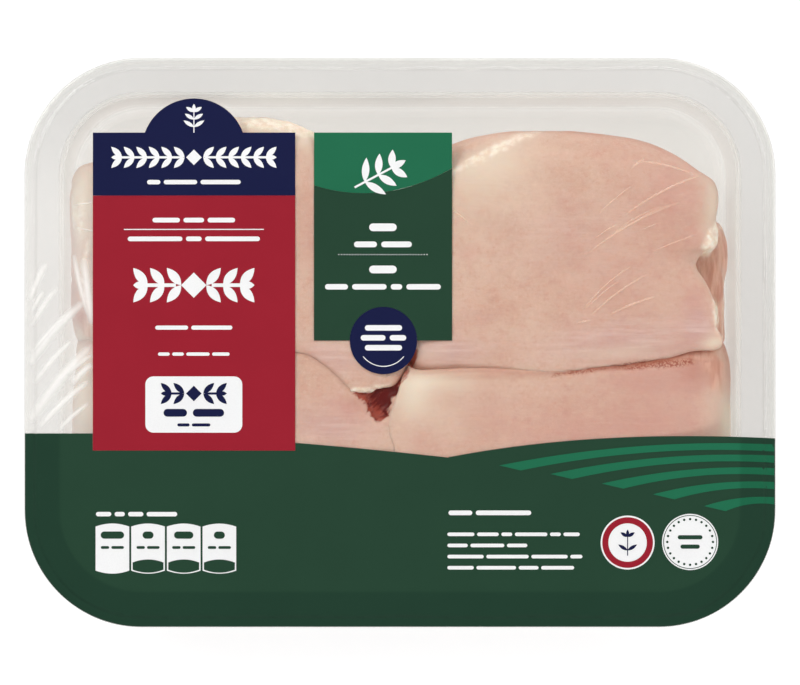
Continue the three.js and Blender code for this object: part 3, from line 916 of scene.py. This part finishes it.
LABEL = Sizes(left=-111.5, right=-38, top=76.2, middle=53.3, bottom=-39.2, x=-74.8)
DOME = Sizes(x=-74.8, y=69.6, radius=19)
CLAIM = Sizes(left=-31.2, right=18.9, top=76.2, bottom=0.7, x=-6.2)
CLAIM_ARC = Sizes(left=57, middle=54.6, right=63.2)
BADGE = Sizes(x=-6, y=0.7, radius=12.2)
BAND = Sizes(left=-33, left_bend=(-62, -33), valley=(17.2, -41.7), right_bend=(70, -31.4), right=-34.8)
WINDOW = Sizes(x=-74.8, y=-22.5, width=35.2, height=20.4, corner=2.9)
TABS = Sizes(left=-110.5, bottom=-82.8, width=12.2, height=16, pitch=12.95, count=4, bulge=1.1)
SEALS = [Sizes(x=82.6, y=-72.6, radius=9.8), Sizes(x=105.3, y=-72.4, radius=10.2)]


def rectangle(left, bottom, right, top):
    return np.array([(left, bottom), (right, bottom), (right, top), (left, top)], float)


def arc(x, y, radius, start, stop, steps):
    """Points of an arc, its angles in degrees."""
    angle = np.radians(np.linspace(start, stop, steps + 1))
    return np.column_stack([x + radius * np.cos(angle), y + radius * np.sin(angle)])


def disc(x, y, radius, steps=64):
    return arc(x, y, radius, 0, 360, steps)[:-1]


def bend(start, control, end, steps=24):
    """Points of a quadratic curve."""
    share = np.linspace(0, 1, steps + 1)[:, None]
    start, control, end = (np.array(point, float) for point in (start, control, end))
    return (1 - share) ** 2 * start + 2 * share * (1 - share) * control + share**2 * end


def bar_row(x, y, width, height, *parts):
    """A row of bars with round ends, as long as parts says they are to each other."""
    gap = height * 0.75
    unit = (width - gap * (len(parts) - 1)) / sum(parts)
    radius = height / 2
    bars, left = [], x - width / 2
    for part in parts:
        middle, reach = left + part * unit / 2, part * unit / 2 - radius
        ends = [arc(middle + reach, y, radius, -90, 90, 8), arc(middle - reach, y, radius, 90, 270, 8)]
        bars.append(np.vstack(ends))
        left += part * unit + gap
    return bars


def leaf(base, tip, width):
    """A pointed leaf from its base to its tip."""
    base, tip = np.array(base, float), np.array(tip, float)
    along = tip - base
    side = np.array([-along[1], along[0]]) / np.hypot(*along) * width
    middle = base + along * 0.45
    right, left = bend(base, middle - side, tip, 10), bend(tip, middle + side, base, 10)
    return np.vstack([right[:-1], left[:-1]])


def turned(outline, x, y, degrees):
    """An outline turned about a point."""
    cosine, sine = math.cos(math.radians(degrees)), math.sin(math.radians(degrees))
    return (outline - (x, y)) @ np.array([[cosine, sine], [-sine, cosine]]) + (x, y)


def sprig(x, y, height, pairs, degrees=0):
    """An upright stem with pairs of leaves and one at its tip."""
    bottom = y - height / 2
    shapes = [rectangle(x - height * 0.018, bottom, x + height * 0.018, y + height * 0.3)]
    for share in np.arange(pairs) / (pairs - 1):
        root = bottom + height * (0.2 + 0.52 * share)
        reach = height * (0.36 - 0.09 * share)
        for side in (-1, 1):
            shapes.append(leaf((x, root), (x + side * reach, root + reach * 0.62), height * 0.13))
    shapes.append(leaf((x, y + height * 0.2), (x, y + height / 2), height * 0.12))
    return [turned(shape, x, y, degrees) for shape in shapes]


def garland(x, y, width, height, pairs):
    """A level stem with leaves that point outwards from a lozenge in the middle."""
    shapes = [turned(rectangle(x - height / 4, y - height / 4, x + height / 4, y + height / 4), x, y, 45)]
    step = width / 2 / (pairs + 0.6)
    for side in (-1, 1):
        stem_end = x + side * (width / 2 - step * 0.6)
        stem = sorted([x + side * height * 0.5, stem_end])
        shapes.append(rectangle(stem[0], y - height * 0.05, stem[1], y + height * 0.05))
        for pair in range(pairs):
            root = x + side * step * (0.75 + pair)
            for way in (-1, 1):
                tip = (root + side * step * 0.85, y + way * height * 0.48)
                shapes.append(leaf((root, y), tip, height * 0.26))
        shapes.append(leaf((stem_end - side * 0.4, y), (x + side * width / 2, y), height * 0.2))
    return shapes


def rounded_rectangle(x, y, width, height, corner):
    right, top = width / 2 - corner, height / 2 - corner
    return np.vstack([
        arc(x + across * right, y + up * top, corner, start, start + 90, 6)
        for across, up, start in [(1, -1, -90), (1, 1, 0), (-1, 1, 90), (-1, -1, 180)]
    ])


def tab_shape(left, inset=0.0, lift=0.0, height=TABS.height):
    """A tab, or the lens at its foot, with a foot that dips and a top that rises in the middle."""
    low, high = TABS.bottom + lift, TABS.bottom + lift + height
    middle = left + TABS.width / 2
    left, right = left + inset, left + TABS.width - inset
    lower = bend((left, low), (middle, low - 2 * TABS.bulge), (right, low), 10)
    upper = bend((right, high), (middle, high + 2 * TABS.bulge), (left, high), 10)
    return np.vstack([lower, upper])


def band_outline():
    """The band: all of the film below two low hills that meet in a valley."""
    edge = TRAY_LENGTH / 2 - FILM_EDGE
    right_hill = bend((edge, BAND.right), BAND.right_bend, BAND.valley, 60)
    left_hill = bend(BAND.valley, BAND.left_bend, (LABEL.left, BAND.left), 60)
    rim = tray_outline(FILM_EDGE, **FINE_OUTLINE)
    lower = rim[rim[:, 1] < BAND.left - 0.5]
    first = int(np.argmin(np.abs(np.arctan2(lower[:, 1], lower[:, 0]) + math.pi)))
    lower = np.roll(lower, -first, axis=0)
    return np.vstack([right_hill, left_hill[1:], (-edge, BAND.left), lower])


def film_edge_x(y):
    """How far to the right the film reaches at a height on the page."""
    along = np.abs(y) - (TRAY_WIDTH / 2 - CORNER_RADIUS)
    radius = CORNER_RADIUS - FILM_EDGE - 0.3
    bulge = math.sqrt(max(radius**2 - max(along, 0) ** 2, 0))
    return TRAY_LENGTH / 2 - CORNER_RADIUS + bulge


def stripe(start, end_height, thickness, bow):
    """A long bent stripe from its slanting left end to the film's right edge."""
    lower_start = (start[0] + 3 * thickness, start[1] - 0.7 * thickness)
    edges = []
    for left, height in ((start, end_height), (lower_start, end_height - thickness)):
        right = (film_edge_x(height), height)
        control = ((left[0] + right[0]) / 2, (left[1] + right[1]) / 2 + bow)
        edges.append(bend(left, control, right, 40))
    return np.vstack([edges[0], edges[1][::-1]])


# Materials


class Nodes:
    """A material's node tree, with short calls for the nodes that its look is made of."""

    def __init__(self, tree):
        self.tree = tree

    def fill(self, sockets, values):
        """Sets each socket to its value, or links it if the value is a socket."""
        for socket, value in zip(sockets, values):
            if isinstance(value, bpy.types.NodeSocket):
                self.tree.links.new(value, socket)
            else:
                socket.default_value = value

    def add(self, kind, settings=None, **sockets):
        """A node with its settings, and its sockets filled by name."""
        made = self.tree.nodes.new("ShaderNode" + kind)
        for key, value in (settings or {}).items():
            setattr(made, key, value)
        self.fill([made.inputs[key.replace("_", " ")] for key in sockets], sockets.values())
        return made

    def mix(self, factor, first, second):
        """The second colour over the first. A plain one is as in a photo, 0 to 255 a channel."""
        made = self.add("Mix", {"data_type": "RGBA"})
        colours = [srgb(*colour) if isinstance(colour, tuple) else colour for colour in (first, second)]
        self.fill([made.inputs[place] for place in (0, 6, 7)], [factor, *colours])
        return made.outputs[2]

    def maths(self, operation, *values, clamp=False):
        made = self.add("Math", {"operation": operation, "use_clamp": clamp})
        self.fill(made.inputs, values)
        return made.outputs[0]

    def times(self, first, second, clamp=False):
        return self.maths("MULTIPLY", first, second, clamp=clamp)

    def plus(self, first, second, clamp=False):
        return self.maths("ADD", first, second, clamp=clamp)

    def painted(self, name):
        return self.add("Attribute", {"attribute_name": name}).outputs["Fac"]

    def facing(self, blend):
        """0 where the surface is seen face on, 1 where it is seen edge on."""
        return self.add("LayerWeight", Blend=blend).outputs["Facing"]

    def noise(self, scale, detail, stretch=(1, 1, 1), roughness=0.5, turn=0):
        """Noise in object coordinates, scale in lumps a metre, turned by degrees about upright."""
        where = self.add("TexCoord").outputs["Object"]
        if turn:
            spin = (0, 0, -math.radians(turn))
            where = self.add("Mapping", Vector=where, Rotation=spin).outputs["Vector"]
        where = self.add("Mapping", Vector=where, Scale=stretch).outputs["Vector"]
        made = self.add("TexNoise", Vector=where, Scale=scale, Detail=detail, Roughness=roughness)
        return made.outputs["Fac"]

    def ramp(self, value, low, high):
        """A value mapped from low and high to 0 and 1, with an even curve."""
        even = {"interpolation_type": "SMOOTHSTEP"}
        return self.add("MapRange", even, Value=value, From_Min=low, From_Max=high).outputs["Result"]

    def spots(self, low, high, scale, detail, **how):
        return self.ramp(self.noise(scale, detail, **how), low, high)

    def shader(self, kind, **sockets):
        return self.add("Bsdf" + kind, **sockets).outputs[0]

    def blend(self, factor, first, second):
        """A share of the second shader in the first."""
        made = self.add("MixShader")
        self.fill(made.inputs, (factor, first, second))
        return made.outputs[0]

    def relief(self, height, strength, distance):
        made = self.add("Bump", Strength=strength, Distance=distance, Height=height)
        return made.outputs["Normal"]


def new_material(name):
    material = bpy.data.materials.new(name)
    material.use_nodes = True
    material.node_tree.nodes.clear()
    return material, Nodes(material.node_tree)


def flesh_material():
    """Raw flesh: pale and uneven, under layers of colour that each have their own amount; some of them
    are painted shade, painted light and a painted highlight.
    """
    material, nodes = new_material("raw_thigh_flesh")
    painted, times, plus = nodes.painted, nodes.times, nodes.plus
    mix, ramp, spots = nodes.mix, nodes.ramp, nodes.spots
    speckle = nodes.noise(620, 4, roughness=0.7)
    dark_speckle = nodes.maths("SUBTRACT", 1.0, speckle)
    mauve = mix(spots(0.42, 0.66, 480, 3, stretch=(0.1, 1, 1)), (206, 167, 163), (222, 191, 187))
    brown = mix(spots(0.35, 0.65, 520, 3, stretch=(1, 0.2, 0.4)), (230, 187, 168), (209, 156, 137))
    grit = mix(spots(0.4, 0.62, 1500, 2), (152, 72, 58), (206, 160, 140))
    fat_noise = nodes.noise(420, 3)
    fat = mix(ramp(fat_noise, 0.35, 0.65), (234, 212, 192), (247, 236, 222))
    streaks = nodes.noise(700, 4, stretch=(0.22, 1, 1), roughness=0.65, turn=38)
    clotted = ramp(plus(times(painted("clot"), 0.45), streaks), 0.6, 0.86)
    layers = [
        (times(spots(0.45, 0.72, 260, 4, roughness=0.6), 0.3), (200, 148, 132)),
        (times(ramp(speckle, 0.52, 0.72), 0.3), (232, 204, 187)),
        (times(ramp(dark_speckle, 0.52, 0.72), 0.3), (196, 138, 120)),
        (times(painted("pink"), 0.7), (205, 153, 143)),
        (times(painted("mauve"), 0.75), mauve),
        (times(spots(0.5, 0.75, 1400, 3), 0.16), (192, 140, 122)),
        (times(spots(0.5, 0.75, 700, 2, stretch=(0.12, 1, 1)), 0.1), (228, 200, 182)),
        # Painted shade: darker and redder where the flesh lies deep under the film.
        (times(painted("depth"), 0.5), (186, 118, 100)),
        (painted("brown"), brown),
        (times(painted("rough"), 0.85), grit),
        # Cream: the pale tone of fat, and in places painted light; past 1 a brighter cream, which is a
        # painted highlight.
        (painted("cream"), (228, 209, 191)),
        (ramp(painted("cream"), 0.9, 1.8), (243, 231, 214)),
        (times(painted("fat"), plus(fat_noise, 0.6), clamp=True), fat),
        # Painted shade: reddish brown along the seams between thighs.
        (painted("seam"), (168, 92, 70)),
        (ramp(plus(painted("blood"), streaks), 0.66, 1.24), mix(clotted, (156, 66, 50), (94, 0, 0))),
    ]
    base = mix(spots(0.35, 0.68, 55, 3), (218, 185, 168), (211, 173, 156))
    for amount, colour in layers:
        base = mix(amount, base, colour)
    fibres = plus(nodes.noise(900, 3, stretch=(0.3, 1, 1)), nodes.noise(260, 2))
    shader = nodes.shader(
        "Principled", Base_Color=base, Roughness=plus(times(nodes.noise(320, 2), 0.25), 0.32),
        Normal=nodes.relief(fibres, 0.25, 0.0004), Specular_IOR_Level=0.2,
        Subsurface_Weight=0.35, Subsurface_Scale=0.004, Subsurface_Radius=(1.0, 0.42, 0.26),
        Coat_Weight=0.05, Coat_Roughness=0.25,
    )
    nodes.add("OutputMaterial", Surface=shader)
    return material


def ink_material(name, colour, shaded_rim_colour=None):
    """Ink on film, a little uneven, and darker over the rim, which is painted shade."""
    material, nodes = new_material("ink_" + name)
    tint = nodes.mix(nodes.painted("rim"), colour, shaded_rim_colour) if shaded_rim_colour else colour
    cloud_and_grain = nodes.plus(nodes.spots(0.3, 0.7, 60, 2), nodes.spots(0.3, 0.7, 2500, 1))
    shader = nodes.shader(
        "Principled", Base_Color=nodes.mix(nodes.times(cloud_and_grain, 0.03), tint, (0, 0, 0)),
        Roughness=0.45, Normal=nodes.relief(nodes.noise(160, 2), 0.05, 0.0002), Specular_IOR_Level=0.05,
    )
    nodes.add("OutputMaterial", Surface=shader)
    return material


def clear_material(name, colour, veil, gloss_roughness, tint, glow):
    """Clear plastic: a see-through shader, a gloss that grows towards grazing, and a white veil."""
    material, nodes = new_material(name)
    through = nodes.shader("Transparent", Color=srgb(*tint))
    gloss = nodes.shader("Glossy", Roughness=gloss_roughness)
    grazing = nodes.times(nodes.maths("POWER", nodes.facing(0.5), 5.0), 0.5)
    clear = nodes.blend(nodes.plus(grazing, 0.014), through, gloss)
    white = colour(nodes)
    diffuse, translucent = (nodes.shader(kind, Color=white) for kind in ("Diffuse", "Translucent"))
    milky = nodes.blend(glow, diffuse, translucent)
    nodes.add("OutputMaterial", Surface=nodes.blend(veil(nodes), clear, milky))
    return material


def film_veil(nodes):
    """How white the film is: a trace all over, painted glare at its left, and most on its creases, where
    it is a painted highlight.
    """
    patchy = nodes.times(nodes.noise(110, 5, stretch=(1.6, 1, 1), roughness=0.65), 0.045)
    left_glare = nodes.times(nodes.painted("left_glare"), nodes.plus(patchy, 0.2))
    return nodes.plus(nodes.plus(left_glare, 0.004), nodes.times(nodes.painted("crease_highlight"), 0.5), clamp=True)


def film_colour(nodes):
    """The colour of the film's painted highlights: white round the fan of creases at the left, and cream
    on the fine ones over the flesh.
    """
    return nodes.mix(nodes.painted("fan"), (255, 226, 200), (250, 248, 245))


def tray_veil(nodes):
    """How milky the tray is: in its rim and base, and in its wall where that is seen edge on."""
    rim, base, edge = (nodes.painted(name) for name in ("rim", "base", "edge"))
    # Where edge paints shade, the wall is less milky and the flat rim a little more.
    wall = nodes.times(nodes.facing(0.45), nodes.maths("SUBTRACT", 0.8, nodes.times(edge, 0.6)))
    patchy = nodes.times(nodes.noise(30, 2), 0.06)
    flat = nodes.plus(nodes.times(nodes.plus(rim, base), 0.27), nodes.times(edge, 0.12))
    least = nodes.plus(nodes.plus(patchy, flat), 0.05)
    return nodes.maths("MAXIMUM", wall, least, clamp=True)


def tray_colour(nodes):
    flat = nodes.mix(nodes.painted("rim"), (240, 239, 237), (215, 213, 214))
    # Painted shade: a darker grey where edge is painted, along the rim's outer edge and its step.
    return nodes.mix(nodes.painted("edge"), flat, (196, 196, 194))


# The scene

# Lights: place, size and power
LIGHTS = {
    "key": ((-1.3, 0.9, 1.5), (1.2, 1.2), 20.2),
    "fill_right": ((1.5, 0.5, 1.4), (1.2, 1.2), 11.4),
    "fill_front": ((0.2, -1.6, 1.5), (1.6, 1.0), 14),
    "fill_back": ((0.2, 1.7, 1.5), (1.6, 1.0), 13),
}
FLOOR_HALF = 2000
FLOOR_DROP = 0.2
FLOOR_GLOW = 0.82
WORLD_LIGHT = 0.48
OVERHEAD_LOSS = 0.43


def make_camera():
    camera = place_object("camera", bpy.data.cameras.new("camera"))
    bpy.context.scene.camera = camera
    camera.location = (0, 0, CAMERA_HEIGHT)
    camera.data.sensor_width = SENSOR
    across = TRAY_LENGTH * MM * PHOTO_WIDTH / TRAY_PIXELS
    camera.data.lens = SENSOR * (CAMERA_HEIGHT - RIM_HEIGHT * MM) / across
    camera.data.clip_end = 20


def make_lights():
    for name, (place, size, power) in LIGHTS.items():
        light = bpy.data.lights.new(name, "AREA")
        light.shape = "RECTANGLE"
        light.size, light.size_y = size
        light.energy = power
        lamp = place_object(name, light)
        lamp.location = place
        lamp.rotation_euler = (-Vector(place)).to_track_quat("-Z", "Y").to_euler()
        lamp.visible_camera = False


def make_floor():
    corners = rectangle(-FLOOR_HALF, -FLOOR_HALF, FLOOR_HALF, FLOOR_HALF)
    floor = make_piece("floor", np.column_stack([corners, np.zeros(4)]), [(0, 1, 2, 3)])
    material, nodes = new_material("studio_floor")
    shader = nodes.shader(
        "Principled", Base_Color=nodes.mix(nodes.spots(0.2, 0.8, 4, 2), (147, 147, 147), (151, 151, 151)),
        Roughness=0.9, Emission_Color=(1, 1, 1, 1), Emission_Strength=FLOOR_GLOW, Specular_IOR_Level=0.0,
    )
    nodes.add("OutputMaterial", Surface=shader)
    floor.data.materials.append(material)
    floor.location.z = -FLOOR_DROP * MM


def make_world():
    """Even light all round, dark straight overhead, so that little shines in the film from there."""
    world = bpy.data.worlds.new("studio")
    world.use_nodes = True
    nodes = Nodes(world.node_tree)
    direction = nodes.add("TexCoord").outputs["Generated"]
    overhead = nodes.ramp(nodes.add("SeparateXYZ", Vector=direction).outputs["Z"], 0.8, 0.95)
    strength = nodes.maths("SUBTRACT", WORLD_LIGHT, nodes.times(overhead, OVERHEAD_LOSS))
    background = world.node_tree.nodes["Background"]
    nodes.fill([background.inputs[key] for key in ("Color", "Strength")], [(1, 1, 1, 1), strength])
    bpy.context.scene.world = world
    bpy.context.scene.view_settings.view_transform = "Standard"
    bpy.context.scene.view_settings.look = "None"


# The print

# Inks: slot, colour, and colour over the rim where that is darker, which is painted shade
INKS = {
    "maroon": ("print_maroon", (149, 33, 47)),
    "navy": ("print_navy", (25, 29, 65)),
    "green": ("print_green", (38, 66, 50)),
    "band": ("print_green", (38, 66, 50), (33, 60, 46)),
    "leaf": ("print_leaf", (35, 104, 74)),
    "stripe": ("print_leaf", (34, 106, 76), (29, 97, 68)),
    "white": ("print_white", (237, 237, 237)),
}
MARK_SPACING = 2.5
FIELD_GAP = 0.05
CLAIM_DOTS = 16
STRIPES = 5


def print_piece(name, outlines, layer, ink, holes=(), nodes=(), spacing=SHEET_SPACING, extra=()):
    """A layer of ink on the film, over as many layers as layer says."""
    where, triangles = triangulate(outlines, holes, spacing, extra)
    lift = FILM + INK_GAP + layer * (INK + INK_GAP)
    piece = sheet("print_" + name, where, triangles, lift, INK)
    inset = tray_inset(*coordinates(piece)[:, :2].T)
    # Marks the rim, where some inks get their painted shade.
    paint(piece, "rim", smooth(-inset, -RIM_WIDTH - 0.6, -RIM_WIDTH + 0.6))
    finish_piece(piece, INKS[ink][0], ink_materials[ink], *nodes)


def print_marks(name, marks, layer, ink):
    print_piece(name, marks, layer, ink, spacing=MARK_SPACING)


def make_claim():
    """The claim's panel and its lighter top, with a curve between them."""
    middle = 2 * CLAIM_ARC.middle - (CLAIM_ARC.left + CLAIM_ARC.right) / 2
    seam = bend((CLAIM.left, CLAIM_ARC.left), (CLAIM.x, middle), (CLAIM.right, CLAIM_ARC.right))
    corners = [(CLAIM.left, CLAIM.bottom), (CLAIM.right, CLAIM.bottom)]
    lower = np.vstack([seam[::-1] - (0, FIELD_GAP), *corners])
    upper = np.vstack([seam, (CLAIM.right, CLAIM.top), (CLAIM.left, CLAIM.top)])
    badge_room = disc(BADGE.x, BADGE.y, BADGE.radius + FIELD_GAP, 72)
    print_piece("claim_panel", [lower], 0, "green", [badge_room], ["claim_panel"])
    print_piece("claim_top", [upper], 0, "leaf", nodes=["claim_top"])


def make_fields():
    """The coloured fields, each in place of its CAD solid."""
    label = rectangle(LABEL.left, LABEL.bottom, LABEL.right, LABEL.middle)
    cap = rectangle(LABEL.left, LABEL.middle + FIELD_GAP, LABEL.right, LABEL.top)
    dome = disc(DOME.x, DOME.y, DOME.radius, 72)
    dome = dome[dome[:, 1] > LABEL.top - 0.5]
    print_piece("label_panel", [label], 0, "maroon", nodes=["label_panel"])
    print_piece("label_cap", [cap, dome], 0, "navy", nodes=["label_cap"])
    make_claim()
    print_piece("badge", [disc(BADGE.x, BADGE.y, BADGE.radius, 72)], 0, "navy", nodes=["badge"])
    label_room = rectangle(
        LABEL.left - FIELD_GAP, LABEL.bottom - FIELD_GAP, LABEL.right + FIELD_GAP, LABEL.middle,
    )
    band = [band_outline()]
    print_piece("field_band", band, 0, "band", [label_room], ["print_band"], extra=rim_lines())
    window = rounded_rectangle(WINDOW.x, WINDOW.y, WINDOW.width, WINDOW.height, WINDOW.corner)
    whites = {"label_window": window}
    for number in range(TABS.count):
        whites[f"band_tab_{number + 1}"] = tab_shape(TABS.left + number * TABS.pitch)
    for number, seal in enumerate(SEALS):
        whites[f"band_seal_{number + 1}"] = disc(seal.x, seal.y, seal.radius, 96)
    for name, outline in whites.items():
        print_piece(name, [outline], 1, "white", nodes=[name])


def make_label_marks():
    x = LABEL.x
    marks = sprig(x, 81.4, 10.5, 3) + garland(x, 67.2, 60, 8, 6)
    marks += bar_row(x, 58.2, 34, 1.6, 2, 5, 6) + bar_row(x, 44.4, 30, 1.7, 4, 3, 4)
    marks.append(rectangle(x - 25.4, 40.85, x + 25.4, 41.2))
    marks += bar_row(x, 37.6, 48, 1.7, 7, 2, 7) + garland(x, 20.8, 44, 13, 3)
    marks += bar_row(x, 5.4, 28, 1.5, 4, 5) + bar_row(x, -4.2, 26, 1.2, 2, 2, 4, 3)
    print_marks("label_marks", marks, 1, "white")
    marks = garland(x, WINDOW.y + 4, 24, 8, 2) + bar_row(x, WINDOW.y - 3, 22, 2.8, 3, 4)
    print_marks("window_marks", marks + bar_row(x, WINDOW.y - 7.4, 12, 1.1, 2, 3), 2, "navy")


def make_claim_marks():
    x = CLAIM.x
    marks = sprig(x - 1, 61.2, 21, 3, -62)
    marks += bar_row(x, 41.8, 10, 2.8, 1) + bar_row(x, 35.6, 21, 2.1, 3, 4)
    marks += [disc(x + place, 31.9, 0.2, 8) for place in range(-CLAIM_DOTS, CLAIM_DOTS + 1)]
    marks += bar_row(x, 26.5, 10, 2.8, 1) + bar_row(x, 20.2, 42, 2.0, 4, 6, 2, 6)
    print_marks("claim_marks", marks, 1, "white")
    x, y = BADGE.x, BADGE.y
    marks = bar_row(x, y + 4.6, 13.5, 2.0, 1) + bar_row(x, y + 1.0, 16.5, 2.0, 3, 2)
    marks += bar_row(x, y - 2.6, 13.5, 2.0, 1)
    smile = np.vstack([arc(x, y, 9.5, 218, 322, 24), arc(x, y, 9.2, 322, 218, 24)])
    print_marks("badge_marks", [*marks, smile], 1, "white")


def make_band_marks():
    marks = bar_row(-95.6, -62.3, 29.5, 1.6, 3, 2, 3, 6) + bar_row(32.6, -61.8, 30, 1.7, 3, 7)
    rows = [(48, 5, 4, 2, 6, 2, 3), (29, 3, 5, 3), (49, 6, 7, 6, 2), (46, 4, 6, 3, 5)]
    for row, (width, *parts) in enumerate(rows):
        marks += bar_row(17.2 + width / 2, -69.6 - 4.05 * row, width, 1.3, *parts)
    print_marks("band_marks", marks, 1, "white")
    marks = []
    for number, word in enumerate([8.5, 4, 7, 4]):
        left = TABS.left + number * TABS.pitch
        x = left + TABS.width / 2
        marks += bar_row(x, -69.9, word, 2.6, 1) + bar_row(x, -74.4, 8.4, 1.0, 2, 3)
        if number:
            marks.append(tab_shape(left, inset=0.5, lift=0.35, height=2.6))
    print_marks("tab_marks", marks, 2, "green")
    stripes = []
    for step in range(STRIPES):
        start = (36 + 18.6 * step, -44.6 - 2.9 * step - 0.2 * step**2)
        stripes.append(stripe(start, -37 - 3.8 * step - 0.25 * step**2, 2.6, 6.2 - 0.9 * step))
    print_piece("band_stripes", stripes, 1, "stripe", extra=rim_lines())


def make_seal_marks():
    """Plain ring emblems on the two round fields."""
    first, second = SEALS
    x, y = first.x, first.y
    print_piece("seal_ring", [disc(x, y, 9.2)], 2, "maroon", [disc(x, y, 7.0)])
    print_marks("seal_sprig", sprig(x, y, 9.5, 2), 2, "navy")
    x, y = second.x, second.y
    dots = [disc(*place, 0.45, 10) for place in arc(x, y, 8.3, 0, 360, 24)[:-1]]
    marks = dots + bar_row(x, y + 1.7, 9, 1.5, 1) + bar_row(x, y - 1.7, 7, 1.5, 1)
    print_marks("seal_marks", marks, 2, "green")
    print_piece("seal_line", [disc(x, y, 9.75)], 2, "green", [disc(x, y, 9.5)])


# What is made, in order

make_camera()
make_floor()
make_lights()
make_world()
thighs = make_thighs(flesh_material())
FILM_GRID = settle_film(thighs)
make_tray(clear_material("clear_tray", tray_colour, tray_veil, 0.12, (251, 251, 250), 0.65))
make_film(clear_material("clear_film", film_colour, film_veil, 0.1, (254, 254, 253), 0.0))
ink_materials = {name: ink_material(name, *colours) for name, (_, *colours) in INKS.items()}
make_fields()
make_label_marks()
make_claim_marks()
make_band_marks()
make_seal_marks()
